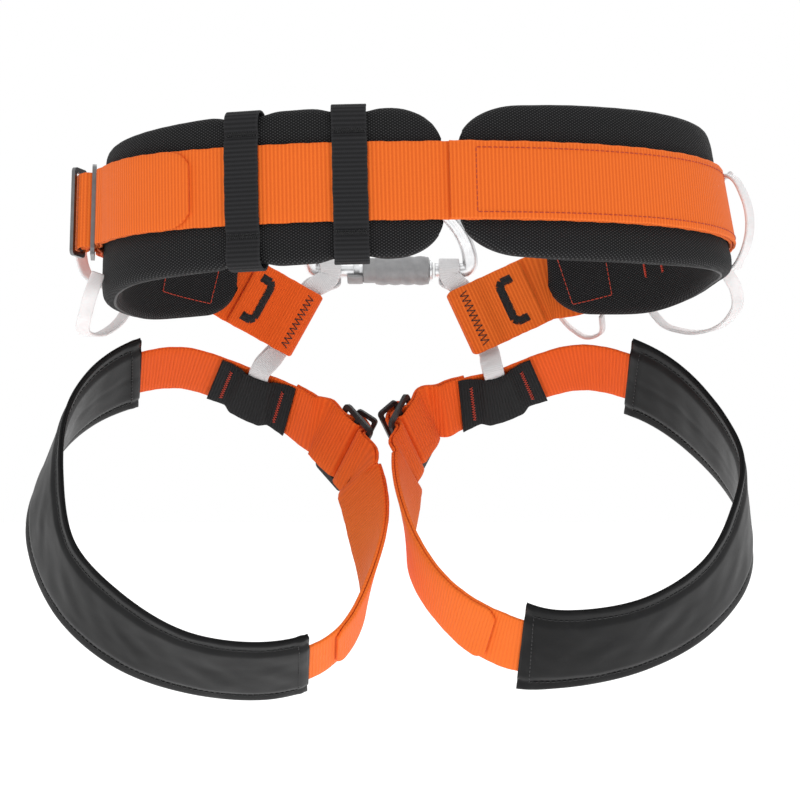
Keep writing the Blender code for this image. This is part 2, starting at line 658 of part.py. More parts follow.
def leg_loop(side, track):
    half = LEG_W / 2
    at = LEG_BUCKLE[side]
    place = BucklePlace(track, at, 1, 0.0)
    free = place.points(free_strap_steps())
    fixed = place.points(fixed_strap_steps())
    tail = track.path(straight(LEG_TAIL[side], at - 0.034, LAYER))
    round_leg = track.path(straight(at - 0.034, at - track.length + 0.036, 0.0))
    back_layer = track.path(straight(at + 0.030, at + 0.046, LAYER))
    line = joined(tail, (free[0][::-1], free[1]), round_leg, fixed, back_layer)
    ribbon(f"leg_webbing_{side}", line, -half, half, WEB_T, "orange_webbing")
    span = COVER_SPAN[side]
    cover = track.path(straight(*span, 0.0))
    sleeve_shape(f"leg_cover_{side}", cover, COVER_HALF, COVER_SLOT, "cover_vinyl")
    flush = -(WEB_T / 2 + 0.0009 + 0.0007)
    bulge = flush - TIE_T - 0.0011
    keeper = [(-KEEPER_HALF, flush), (-0.020, flush), (-0.0155, flush), (-0.0085, bulge), (0, bulge),
              (0.0085, bulge), (0.0155, flush), (0.020, flush), (KEEPER_HALF, flush)]
    ribbon(f"leg_keeper_{side}", track.path(keeper), -half, half, 0.0014, "black_webbing")
    buckle(f"leg_buckle_{side}", place, half, ("buckle_black", "buckle_black"))


def cut(obj, cutters):
    """Takes the helper solids away from the object, and removes them."""
    for cutter in cutters:
        change = obj.modifiers.new("cut", "BOOLEAN")
        change.operation = "DIFFERENCE"
        change.solver = "EXACT"
        change.object = cutter
    settle(obj)
    for cutter in cutters:
        bpy.data.objects.remove(cutter, do_unlink=True)


def join(obj, others):
    for other in others:
        change = obj.modifiers.new("join", "BOOLEAN")
        change.operation = "UNION"
        change.solver = "EXACT"
        change.object = other
    settle(obj)
    for other in others:
        bpy.data.objects.remove(other, do_unlink=True)


def settle(obj):
    """Makes the modifiers' result the object's own mesh."""
    bpy.context.view_layer.update()
    graph = bpy.context.evaluated_depsgraph_get()
    mesh = bpy.data.meshes.new_from_object(obj.evaluated_get(graph))
    obj.modifiers.clear()
    obj.data = mesh


def rod(name, start, stop, radius, sides, slot):
    start, stop = np.asarray(start, float), np.asarray(stop, float)
    points = np.stack([start, stop])
    across = unit(np.cross(stop - start, (0.3, 0.5, 0.8)))
    line = (points, np.broadcast_to(across, points.shape))
    return tube(name, line, radius, radius, sides, slot, origin=start)


def block(name, middle, axes, half, slot):
    """A box of the given half sizes along three axes."""
    corners = []
    for a in (-1, 1):
        for b, c in ((-1, -1), (1, -1), (1, 1), (-1, 1)):
            corners.append(middle + axes[0] * a * half[0] + axes[1] * b * half[1] + axes[2] * c * half[2])
    faces = [(0, 1, 2, 3), (4, 5, 6, 7)] + [(j, (j + 1) % 4, (j + 1) % 4 + 4, j + 4) for j in range(4)]
    return add_mesh(name, corners, faces, slot, smooth=False, origin=middle)


def carabiner():
    lean = np.array((0.0, -math.sin(ARC_LEAN), math.cos(ARC_LEAN)))
    bar = np.array((0.0, BAR_Y, BAR_Z))
    x_axis = np.array((1.0, 0.0, 0.0))
    across = np.cross(x_axis, lean)
    axes = (x_axis, across, lean)
    corner_in = ARC_R - ARC_CORNER
    bend = [(ARC_R * math.cos(a), ARC_R * math.sin(a)) for a in np.radians(np.linspace(171, 9, 17))]
    left = [(EAR_END, 0.0), (-corner_in, 0.0), (-corner_in - 0.0035, 0.0012), (-ARC_R + 0.0006, 0.0042)]
    right = [(ARC_R - 0.0006, 0.0042), (corner_in + 0.0035, 0.0012), (corner_in, 0.0), (STUB_END, 0.0)]
    points = np.array([bar + x_axis * x + lean * z for x, z in left + bend + right])
    line = (points, np.broadcast_to(across, points.shape))
    body = tube("carabiner_body", line, ROD_R, ROD_R, 12, "aluminium", origin=bar)
    pin = bar + x_axis * PIN_X
    slot_half = (0.010, TONGUE_HALF + 0.0003, 0.008)
    slot = block("slot", bar + x_axis * (SLOT_START + slot_half[0]), axes, slot_half, "aluminium")
    hole = rod("hole", pin - across * 0.009, pin + across * 0.009, PIN_R + 0.0003, 10, "aluminium")
    cut(body, [slot, hole])
    rod("gate_pin", pin - across * 0.0046, pin + across * 0.0046, PIN_R, 10, "spring_steel")

    gate = rod("carabiner_gate", bar + x_axis * GATE_START, bar + x_axis * GATE_STOP, GATE_R, 14, "aluminium")
    tongue_middle = bar + x_axis * (GATE_START - 0.0030)
    tongue = block("tongue", tongue_middle, axes, (0.0052, TONGUE_HALF, 0.0034), "aluminium")
    join(gate, [tongue])
    bore_end = bar + x_axis * (GATE_STOP + 0.002)
    bore = rod("bore", bar + x_axis * BORE_STOP, bore_end, GATE_BORE_R, 10, "aluminium")
    hole = rod("hole", pin - across * 0.009, pin + across * 0.009, PIN_R + 0.0003, 10, "aluminium")
    cut(gate, [bore, hole])
    spring_start = bar + x_axis * (BORE_STOP + 0.001)
    coil("gate_spring", spring_start, x_axis, 0.017, 0.0017, 0.00035, 6, 4, "spring_steel")

    inner, cavity = GATE_R + 0.0003, 0.0069
    profile = [(-0.0185, inner), (-0.0130, inner), (-0.0130, cavity), (0.0030, cavity), (0.0030, inner),
               (0.0250, inner), (0.0250, 0.0078), (0.0235, SLEEVE_R), (-0.0080, SLEEVE_R), (-0.0100, 0.0078),
               (-0.0172, 0.0078), (-0.0185, 0.0070)]
    turned("locking_sleeve", profile, bar, x_axis, 18, "sleeve_grey")
    profile = [(0.0253, inner), (0.0274, inner), (0.0274, 0.0070), (0.0253, 0.0074)]
    turned("sleeve_ring", profile, bar, x_axis, 18, "aluminium")
    coil("sleeve_spring", bar - x_axis * 0.0110, x_axis, 0.009, 0.0059, 0.00045, 4, 4, "spring_steel")


def main():
    clear_scene()
    waist = waist_track()
    waist_belt(waist)
    legs = {"left": leg_track(LEG_LEFT, LEG_LEFT_CENTRE), "right": leg_track(LEG_RIGHT, LEG_RIGHT_CENTRE)}
    for side, track in legs.items():
        leg_loop(side, track)
        tie_in_loop(side, track)
    carabiner()
    for name, places in GEAR_LOOPS.items():
        line, _ = waist.path(places)
        _, along, outward, _ = waist.frame([step[0] for step in places])
        widths = outward
        if "rear" in name:
            _, flat = sides_of(line, along, False)
            twist = REAR_TWIST * np.sin(np.linspace(0, math.pi, len(places)))[:, None]
            widths = np.cos(twist) * along + np.sin(twist) * flat
        path = smooth_line(line, widths)
        tube(name, path, GEAR_LOOP_W, GEAR_LOOP_T, 6, "gear_loop_plastic", origin=line[0])


if __name__ == "__main__":
    main()
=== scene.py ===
"""The looks of a seat harness: webbing, mesh pads, vinyl leg covers, stitching, buckles and carabiner."""

import math

import bpy
import numpy as np
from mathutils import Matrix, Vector


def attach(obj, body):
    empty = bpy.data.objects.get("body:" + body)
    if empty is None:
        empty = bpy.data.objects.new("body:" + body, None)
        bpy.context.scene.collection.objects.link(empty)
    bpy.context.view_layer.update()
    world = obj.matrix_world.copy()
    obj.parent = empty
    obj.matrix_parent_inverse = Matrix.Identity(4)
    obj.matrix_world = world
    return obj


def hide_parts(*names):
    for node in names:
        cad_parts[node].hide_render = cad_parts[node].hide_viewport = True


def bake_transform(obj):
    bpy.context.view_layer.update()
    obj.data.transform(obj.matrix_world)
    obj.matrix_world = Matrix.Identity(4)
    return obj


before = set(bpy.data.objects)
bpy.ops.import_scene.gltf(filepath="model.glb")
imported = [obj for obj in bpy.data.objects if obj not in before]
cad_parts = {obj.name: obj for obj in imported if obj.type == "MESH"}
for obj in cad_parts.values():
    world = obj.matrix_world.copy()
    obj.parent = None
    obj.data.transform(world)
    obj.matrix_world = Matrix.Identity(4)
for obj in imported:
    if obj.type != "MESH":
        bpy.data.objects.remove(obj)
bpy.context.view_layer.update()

# The same driving sizes as the solid model, in metres
WEB_T = 0.0020
LAYER = 0.0024
FIRST = 0.0014
BELT_HALF = 0.0225
LEG_HALF = 0.0215
PAD_T = 0.012
RING_A, RING_B, RING_POWER = 0.187, 0.116, 2.3
RING_TURN = math.radians(8)
RING_CENTRE = np.array((0.0150, 0.0, 0.0))
LEG_CENTRE = {"left": (-0.113, 0.070, -0.190), "right": (0.113, 0.070, -0.185)}
RIM_UP = np.array((0.0, -0.866, 0.5))
LEG_ROWS = {
    "left": (
        (-0.090, 0.133, -0.113, 13), (-0.138, 0.128, -0.097, 7), (-0.180, 0.114, -0.107, 0),
        (-0.210, 0.097, -0.137, -12), (-0.220, 0.074, -0.182, -24), (-0.206, 0.050, -0.227, -19),
        (-0.170, 0.030, -0.260, -15), (-0.123, 0.018, -0.280, -6), (-0.072, 0.015, -0.284, -3),
        (-0.035, 0.025, -0.271, 0), (-0.016, 0.046, -0.238, 6), (-0.015, 0.076, -0.195, 34),
        (-0.0275, 0.106, -0.157, 38), (-0.056, 0.127, -0.131, 24)),
    "right": (
        (0.071, 0.133, -0.113, 13), (0.121, 0.128, -0.097, 12), (0.163, 0.117, -0.106, 9),
        (0.197, 0.101, -0.131, 4), (0.222, 0.078, -0.169, -4), (0.220, 0.054, -0.208, -16),
        (0.196, 0.034, -0.241, -14), (0.154, 0.018, -0.263, -12), (0.104, 0.013, -0.271, -15),
        (0.068, 0.018, -0.265, -22), (0.036, 0.030, -0.244, -12), (0.0150, 0.053, -0.213, -4),
        (0.0110, 0.083, -0.175, 20), (0.0165, 0.112, -0.143, 26), (0.036, 0.127, -0.125, 24)),
}
PADS = {
    "left": ((-0.0008, -0.393), (0.0425, 0.0435, 0.0410, 0.0370, 0.0335, 0.0360, 0.0360),
             (-0.0415, -0.0445, -0.0465, -0.0490, -0.0535, -0.0540, -0.0420),
             ((0.028, 0.020), (0.020, 0.018))),
    "right": ((0.0100, 0.392), (0.0435, 0.0468, 0.0480, 0.0475, 0.0400, 0.0370, 0.0360),
              (-0.0400, -0.0435, -0.0430, -0.0400, -0.0370, -0.0435, -0.0370),
              ((0.034, 0.021), (0.026, 0.020))),
}
WAIST_BUCKLE = -0.254
TAIL_END = -0.146
TOOL_LOOPS = {"inner": -0.0552, "outer": -0.1162}
LOOP_SHIFT = 0.0018
TABS = {
    "left": ((-0.0555, 0.1250, -0.0700), (0.487, 0.0, 0.873), (0.734, 0.480, -0.410)),
    "right": ((0.0450, 0.1250, -0.0690), (-0.42, 0.0, 0.906), (-0.835, 0.03, -0.387)),
}
PINCH = 0.0026
PINCH_REACH = 0.0150
CHANNEL_R = 0.0053
TAB_OVERLAP = 0.0465
BAR_CENTRE = 0.0044
SLIDER_FAR = (0.0075, 0.0106)
FOLD_R = 0.0033
BAR = np.array((0.0, 0.130, -0.033))
ARC_LEAN = math.radians(20)
ARC_R = 0.0525
TIE_X = {"left": -0.0396, "right": 0.0382}
COVER_SPAN = {"left": (0.079, 0.428), "right": (0.089, 0.412)}
COVER_HALF = 0.035
COVER_SEAM = 0.0285
COVER_FULL, COVER_THIN = 0.0031, 0.00125
KEEPER_REACH = 0.0275
RIBBON_HALF, RIBBON_T = 0.0042, 0.0022
TAPE_HALF, TAPE_T = 0.00675, 0.0019
LEG_TAIL = {"left": 0.448, "right": 0.432}
LEG_BUCKLE = {"left": 0.606, "right": 0.604}
REAR_TWIST = math.radians(35)
GEAR_LOOPS = {
    "gear_loop_rear_right": (
        (0.2260, 0.0082, 0.0215), (0.2210, 0.0112, 0.0180), (0.2180, 0.0150, 0.0060),
        (0.2180, 0.0160, -0.0060), (0.2200, 0.0110, -0.0240), (0.2260, 0.0028, -0.0345),
    ),
    "gear_loop_rear_left": (
        (-0.300, 0.0077, 0.0180), (-0.300, 0.0210, 0.0130), (-0.300, 0.0285, -0.0060),
        (-0.300, 0.0230, -0.0290), (-0.300, 0.0030, -0.0410),
    ),
    "gear_loop_side_right": (
        (0.2600, 0.0038, -0.0310), (0.2650, 0.0095, -0.0410), (0.2710, 0.0120, -0.0500),
        (0.2840, 0.0125, -0.0580), (0.3000, 0.0125, -0.0620), (0.3160, 0.0120, -0.0605),
        (0.3270, 0.0095, -0.0540), (0.3330, 0.0042, -0.0400),
    ),
    "gear_loop_side_left": (
        (-0.238, 0.0038, -0.0390), (-0.236, 0.0085, -0.0520), (-0.245, 0.0105, -0.0630),
        (-0.2640, 0.0115, -0.0685), (-0.288, 0.0115, -0.0690), (-0.3060, 0.0105, -0.0655),
        (-0.3165, 0.0080, -0.0570), (-0.3210, 0.0040, -0.0460),
    ),
    "gear_loop_front_right": (
        (0.393, 0.0125, -0.0300), (0.389, 0.0135, -0.0410), (0.382, 0.0135, -0.0510),
        (0.3735, 0.0130, -0.0570), (0.3655, 0.011, -0.0545), (0.3625, 0.0060, -0.0420),
    ),
}


# ---------------------------------------------------------------- lines and frames

def unit(rows):
    rows = np.asarray(rows, float)
    size = np.linalg.norm(rows, axis=-1, keepdims=True)
    return rows / np.where(size > 1e-12, size, 1)


def tangents(points, closed=False):
    if closed:
        ahead = unit(np.roll(points, -1, 0) - points)
        return unit(ahead + np.roll(ahead, 1, 0))
    ends = np.vstack([points[:1], points, points[-1:]])
    return unit(unit(ends[2:] - ends[1:-1]) + unit(ends[1:-1] - ends[:-2]))


class Track:
    """A closed line with its direction, outward normal and width direction at every place along it."""

    def __init__(self, centres, widths, inside):
        step = np.linalg.norm(np.roll(centres, -1, 0) - centres, axis=1)
        self.at = np.concatenate([[0], np.cumsum(step)])
        self.length = self.at[-1]
        along = tangents(centres, True)
        widths = unit(widths - (widths * along).sum(1)[:, None] * along)
        outward = np.cross(along, widths)
        if (outward[0] * (centres[0] - inside)).sum() < 0:
            outward = -outward
        self.rows = [np.vstack([r, r[:1]]) for r in (centres, along, outward, widths)]

    def frame(self, places):
        places = np.atleast_1d(places) % self.length
        found = []
        for rows in self.rows:
            found.append(np.stack([np.interp(places, self.at, rows[:, i]) for i in range(3)], 1))
        return found[0], unit(found[1]), unit(found[2]), unit(found[3])

    def path(self, steps):
        steps = np.array([(*step, 0.0)[:3] for step in steps])
        centre, _, outward, width = self.frame(steps[:, 0])
        return centre + outward * steps[:, 1:2] + width * steps[:, 2:3], width

    def on(self, s, out, up):
        """Points at places s, heights up, standing out from the line."""
        s, out, up = np.broadcast_arrays(np.asarray(s, float), out, up)
        centre, _, outward, width = self.frame(s.ravel())
        return centre + outward * out.ravel()[:, None] + width * up.ravel()[:, None]


def spline(rows, steps):
    rows = np.asarray(rows, float)
    t = (np.arange(steps) / steps)[:, None]
    out = []
    for i in range(len(rows)):
        a, b, c, d = (rows[(i + k) % len(rows)] for k in (-1, 0, 1, 2))
        square = (2 * a - 5 * b + 4 * c - d) * t**2
        cube = (3 * b - a - 3 * c + d) * t**3
        out.append((2 * b + (c - a) * t + square + cube) / 2)
    return np.vstack(out)


def waist_track():
    turn = np.linspace(0, 2 * math.pi, 721)[:-1]
    sine, cosine = np.sin(turn), np.cos(turn)
    side = RING_A * np.sign(sine) * np.abs(sine) ** (2 / RING_POWER)
    depth = -RING_B * np.sign(cosine) * np.abs(cosine) ** (2 / RING_POWER)
    x = side * math.cos(RING_TURN) - depth * math.sin(RING_TURN) + RING_CENTRE[0]
    y = side * math.sin(RING_TURN) + depth * math.cos(RING_TURN) + RING_CENTRE[1]
    z = -0.125 * y - 0.65 * y**2 - 0.15 * (x - 0.060) ** 2
    centres = np.stack([x, y, z], 1)
    outward = np.cross(tangents(centres, True), (0.0, 0.0, 1.0))
    flare = np.radians(6 + 4.5 * sine)[:, None]
    widths = np.cos(flare) * np.array((0.0, 0.0, 1.0)) - np.sin(flare) * unit(outward)
    return Track(centres, widths, RING_CENTRE)


def leg_track(side):
    line = spline(LEG_ROWS[side], 24)
    centre = np.array(LEG_CENTRE[side])
    flare = np.radians(line[:, 3:4])
    spoke = line[:, :3] - centre
    spoke = unit(spoke - (spoke @ RIM_UP)[:, None] * RIM_UP)
    return Track(line[:, :3], np.cos(flare) * RIM_UP + np.sin(flare) * spoke, centre)


def straight(start, stop, outward, step=0.004):
    count = max(2, int(abs(stop - start) / step) + 1)
    return [(s, outward) for s in np.linspace(start, stop, count)]


def joined(*lines):
    return np.vstack([points for points, _ in lines]), np.vstack([widths for _, widths in lines])


def arc(middle, radius, start, stop, steps):
    turn = np.radians(np.linspace(start, stop, steps))
    return [(middle[0] + radius * math.cos(a), middle[1] + radius * math.sin(a)) for a in turn]


def smooth(line, step=0.0014, closed=False):
    """The line resampled on a smooth curve through its points, at most a step apart."""
    points, widths = (np.asarray(part, float) for part in line)
    if closed:
        points, widths = np.vstack([points, points[:1]]), np.vstack([widths, widths[:1]])
    keep = np.concatenate([[True], np.linalg.norm(np.diff(points, axis=0), axis=1) > 2e-4])
    points, widths = points[keep], widths[keep]
    span = np.linalg.norm(np.diff(points, axis=0), axis=1)
    if closed:
        before, after = points[-2] - points[-1], points[1] - points[0]
        ends = np.vstack([points[:1] + before, points, points[-1:] + after])
        gaps = np.concatenate([span[-1:], span, span[:1]])
    else:
        ends = np.vstack([2 * points[0] - points[1], points, 2 * points[-1] - points[-2]])
        gaps = np.concatenate([span[:1], span, span[-1:]])
    slope = np.diff(ends, axis=0) / gaps[:, None]
    left, right = gaps[:-1, None], gaps[1:, None]
    slope = (slope[:-1] * right + slope[1:] * left) / (left + right)
    out, across = [], []
    for i, h in enumerate(span):
        t = (np.arange(max(1, math.ceil(h / step))) / max(1, math.ceil(h / step)))[:, None]
        a, b, m, n = points[i], points[i + 1], slope[i] * h, slope[i + 1] * h
        out.append((2 * t**3 - 3 * t**2 + 1) * a + (t**3 - 2 * t**2 + t) * m
                   + (3 * t**2 - 2 * t**3) * b + (t**3 - t**2) * n)
        across.append(widths[i] * (1 - t) + widths[i + 1] * t)
    if not closed:
        out.append(points[-1:])
        across.append(widths[-1:])
    return np.vstack(out), unit(np.vstack(across))


def sides_of(points, widths, closed=False):
    along = tangents(points, closed)
    widths = unit(widths - (widths * along).sum(1)[:, None] * along)
    return along, widths, unit(np.cross(along, widths))


# ---------------------------------------------------------------- meshes

def new_mesh(name, points, faces, material, uvs=None):
    """An object of these points and faces. uvs holds a pair for every corner of every face."""
    mesh = bpy.data.meshes.new(name)
    places = [tuple(p) for p in np.asarray(points, float)]
    mesh.from_pydata(places, [], [tuple(int(i) for i in f) for f in faces])
    mesh.update()
    mesh.polygons.foreach_set("use_smooth", [True] * len(mesh.polygons))
    if uvs is not None:
        layer = mesh.uv_layers.new(name="UVMap")
        layer.data.foreach_set("uv", np.asarray(uvs, np.float32).ravel())
    mesh.materials.append(material)
    obj = bpy.data.objects.new(name, mesh)
    bpy.context.scene.collection.objects.link(obj)
    return obj


def placed(obj, body, slot, *nodes):
    """Rides the piece on its body and hides the solids that it stands for. slot, the name of its finish, is
    not used.
    """
    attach(obj, body)
    if nodes:
        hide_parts(*nodes)
    return obj


def swept(name, along_uv, sections, section_uv, material, closed=False):
    """A skin through rings of points, ring i being sections[i]; capped at the ends unless closed."""
    count, size = sections.shape[:2]
    faces, uvs = [], []
    for i in range(count if closed else count - 1):
        k = (i + 1) % count
        u0, u1 = along_uv[i], along_uv[i + 1] if i + 1 < len(along_uv) else along_uv[i] + along_uv[1]
        for j in range(size):
            m = (j + 1) % size
            faces.append((i * size + j, i * size + m, k * size + m, k * size + j))
            uvs += [(u0, section_uv[j]), (u0, section_uv[m]), (u1, section_uv[m]), (u1, section_uv[j])]
    if not closed:
        faces.append(tuple(range(size))[::-1])
        uvs += [(along_uv[0], section_uv[j]) for j in range(size)][::-1]
        faces.append(tuple(range((count - 1) * size, count * size)))
        uvs += [(along_uv[count - 1], section_uv[j]) for j in range(size)]
    return new_mesh(name, sections.reshape(-1, 3), faces, material, uvs)


def strap(name, line, low, high, thick, material, closed=False, step=0.0014, wave=0.00012,
          seed=0.0, columns=8):
    """A woven strap: a flat band with soft rounded edges and slight unevenness.

    Its UV is metres along and across.
    """
    points, widths = smooth(line, step, closed)
    _, widths, normals = sides_of(points, widths, closed)
    gaps = np.linalg.norm(np.diff(np.vstack([points, points[:1]]) if closed else points, axis=0), axis=1)
    at = np.concatenate([[0], np.cumsum(gaps)])
    half = thick / 2
    turn = np.radians((60, 20, -20, -60))
    edge = [(half * 0.75 * math.cos(a), half * math.sin(a)) for a in turn]
    inner = np.linspace(0, 1, columns)
    count = len(points)
    low = np.broadcast_to(np.asarray(low, float), (count,))
    high = np.broadcast_to(np.asarray(high, float), (count,))
    u = at[:count]
    ripple = wave * (np.sin(u * 410 + seed) + 0.7 * np.sin(u * 173 + 2.1 * seed)
                     + 0.5 * np.sin(u * 977 + 3 * seed))
    rings, across = [], []
    for i in range(count):
        a, b = low[i] + half * 0.75 + ripple[i], high[i] - half * 0.75 + ripple[i]
        row = [(a + (b - a) * t, half) for t in inner] + [(b + x, y) for x, y in edge]
        row += [(b + (a - b) * t, -half) for t in inner] + [(a - x, -y) for x, y in edge]
        rings.append([points[i] + widths[i] * v + normals[i] * n for v, n in row])
        if not across:
            across = [v for v, _ in row]
    return swept(name, at, np.array(rings), across, material, closed)


def tube_rings(points, radius, sides):
    """Rings of points round a line, turned as little as they can be from one to the next."""
    along = tangents(points)
    side = unit(np.cross(along[0], (0.31, 0.52, 0.79)))
    turn = np.arange(sides) * 2 * math.pi / sides
    rings = []
    for i, direction in enumerate(along):
        side = unit(side - (side @ direction) * direction)
        third = np.cross(direction, side)
        size = radius[i] if np.ndim(radius) else radius
        rings.append(points[i] + np.outer(np.cos(turn), side) * size + np.outer(np.sin(turn), third) * size)
    return rings


def threads(name, runs, radius, material, sides=5):
    """Many short threads in one mesh. Each run is a list of points."""
    points, faces = [], []
    for run in runs:
        run = np.asarray(run, float)
        base = len(points)
        for ring in tube_rings(run, radius, sides):
            points.extend(ring)
        for i in range(len(run) - 1):
            for j in range(sides):
                k = (j + 1) % sides
                a = base + i * sides
                faces.append((a + j, a + k, a + sides + k, a + sides + j))
        faces.append(tuple(base + j for j in range(sides))[::-1])
        faces.append(tuple(base + (len(run) - 1) * sides + j for j in range(sides)))
    return new_mesh(name, points, faces, material)


def stitch(a, b, up, lift):
    """A thread from a to b that comes up out of the cloth and goes back in."""
    up_a, up_b = (up, up) if np.ndim(up[0]) == 0 else up
    middle = (up_a + up_b) / 2
    return [a - up_a * lift, a + up_a * lift * 0.4 + (b - a) * 0.12, (a + b) / 2 + middle * lift,
            b + up_b * lift * 0.4 - (b - a) * 0.12, b - up_b * lift]


def seam(place, start, stop, pitch, lift, share=0.72):
    """Stitches along a line in a surface's own coordinates. place(u, v) gives (point, normal)."""
    start, stop = np.array(start, float), np.array(stop, float)
    count = max(1, round(np.linalg.norm(stop - start) / pitch))
    runs = []
    for i in range(count):
        a = start + (stop - start) * (i + (1 - share) / 2) / count
        b = start + (stop - start) * (i + (1 + share) / 2) / count
        (pa, na), (pb, nb) = place(*a), place(*b)
        runs.append(stitch(pa, pb, (na, nb), lift))
    return runs


def zigzag(place, start, stop, reach, teeth, lift):
    """Zigzag thread between two ends, reaching to both sides of the line."""
    start, stop = np.array(start, float), np.array(stop, float)
    side = np.array((-(stop - start)[1], (stop - start)[0])) / np.linalg.norm(stop - start)
    corners = []
    for i in range(teeth + 1):
        corners.append(start + (stop - start) * i / teeth + side * reach * (1 if i % 2 else -1))
    runs = []
    for a, b in zip(corners, corners[1:]):
        (pa, na), (pb, nb) = place(*a), place(*b)
        runs.append(stitch(pa, pb, (na, nb), lift))
    return runs


def hash01(value):
    """A fixed number from 0 to 1 for any number."""
    return (math.sin(value * 12.9898 + 4.1) * 43758.5453) % 1.0


def satin(place, path, reach, pitch, lift, seed, ragged):
    """Dense threads laid across a path, as in a bar tack. ragged is how far one side frays."""
    path = [np.array(p, float) for p in path]
    runs, count = [], 0
    for a, b in zip(path, path[1:]):
        length = np.linalg.norm(b - a)
        side = np.array((-(b - a)[1], (b - a)[0])) / length
        steps = max(2, round(length / pitch))
        for i in range(steps):
            count += 1
            at = a + (b - a) * (i + 0.5) / steps
            lean = (b - a) / length * pitch * 0.9 * (1 if count % 2 else -1)
            left = at + side * (reach + ragged * hash01(seed + count)) + lean
            right = at - side * (reach + 0.25 * ragged * hash01(seed + 7.7 * count)) - lean
            (pa, na), (pb, nb) = place(*left), place(*right)
            runs.append(stitch(pa, pb, (na, nb), lift * (0.8 + 0.4 * hash01(count * 3.3))))
    return runs


# ---------------------------------------------------------------- materials

class Nodes:
    """A material's shader and short ways to add nodes to it."""

    def __init__(self, name, colour, roughness, metallic=0.0, sheen=0.0, specular=0.5):
        self.material = bpy.data.materials.new(name)
        self.material.use_nodes = True
        self.tree = self.material.node_tree
        self.shader = self.tree.nodes["Principled BSDF"]
        self.set("Base Color", (*colour, 1))
        self.set("Roughness", roughness)
        self.set("Metallic", metallic)
        self.set("Specular IOR Level", specular)
        if sheen:
            self.set("Sheen Weight", sheen)
            self.set("Sheen Roughness", 0.4)

    def set(self, socket, value):
        self.shader.inputs[socket].default_value = value

    def link(self, source, target):
        self.tree.links.new(source, target)

    def maths(self, operation, a, b=None, c=None):
        node = self.tree.nodes.new("ShaderNodeMath")
        node.operation = operation
        for i, value in enumerate((a, b, c)):
            if value is None:
                continue
            if isinstance(value, (int, float)):
                node.inputs[i].default_value = value
            else:
                self.link(value, node.inputs[i])
        return node.outputs[0]

    def uv(self):
        node = self.tree.nodes.new("ShaderNodeUVMap")
        node.uv_map = "UVMap"
        split = self.tree.nodes.new("ShaderNodeSeparateXYZ")
        self.link(node.outputs[0], split.inputs[0])
        return split.outputs[0], split.outputs[1]

    def place(self):
        node = self.tree.nodes.new("ShaderNodeTexCoord")
        return node.outputs["Object"]

    def noise(self, vector, scale, detail=3.0, roughness=0.55):
        node = self.tree.nodes.new("ShaderNodeTexNoise")
        node.inputs["Scale"].default_value = scale
        node.inputs["Detail"].default_value = detail
        node.inputs["Roughness"].default_value = roughness
        self.link(vector, node.inputs["Vector"])
        return node.outputs["Fac"]

    def ramp(self, fac, *stops):
        node = self.tree.nodes.new("ShaderNodeValToRGB")
        ramp = node.color_ramp
        while len(ramp.elements) < len(stops):
            ramp.elements.new(0.5)
        for element, (at, colour) in zip(ramp.elements, stops):
            element.position = at
            element.color = (*colour, 1)
        self.link(fac, node.inputs[0])
        return node.outputs[0]

    def mix(self, fac, a, b):
        node = self.tree.nodes.new("ShaderNodeMix")
        node.data_type = "RGBA"
        for socket, value in ((node.inputs[0], fac), (node.inputs[6], a), (node.inputs[7], b)):
            if isinstance(value, (int, float)):
                socket.default_value = value
            elif isinstance(value, tuple):
                socket.default_value = (*value, 1)
            else:
                self.link(value, socket)
        return node.outputs[2]

    def colour(self, source):
        self.link(source, self.shader.inputs["Base Color"])

    def roughness(self, source):
        self.link(source, self.shader.inputs["Roughness"])

    def bump(self, height, distance, strength=1.0, under=None):
        node = self.tree.nodes.new("ShaderNodeBump")
        node.inputs["Strength"].default_value = strength
        node.inputs["Distance"].default_value = distance
        self.link(height, node.inputs["Height"])
        if under is not None:
            self.link(under, node.inputs["Normal"])
        self.link(node.outputs[0], self.shader.inputs["Normal"])
        return node.outputs[0]


def wave01(m, source, pitch):
    """0 to 1 along a coordinate, once every pitch."""
    turn = m.maths("MULTIPLY", source, 2 * math.pi / pitch)
    return m.maths("MULTIPLY_ADD", m.maths("SINE", turn), 0.5, 0.5)


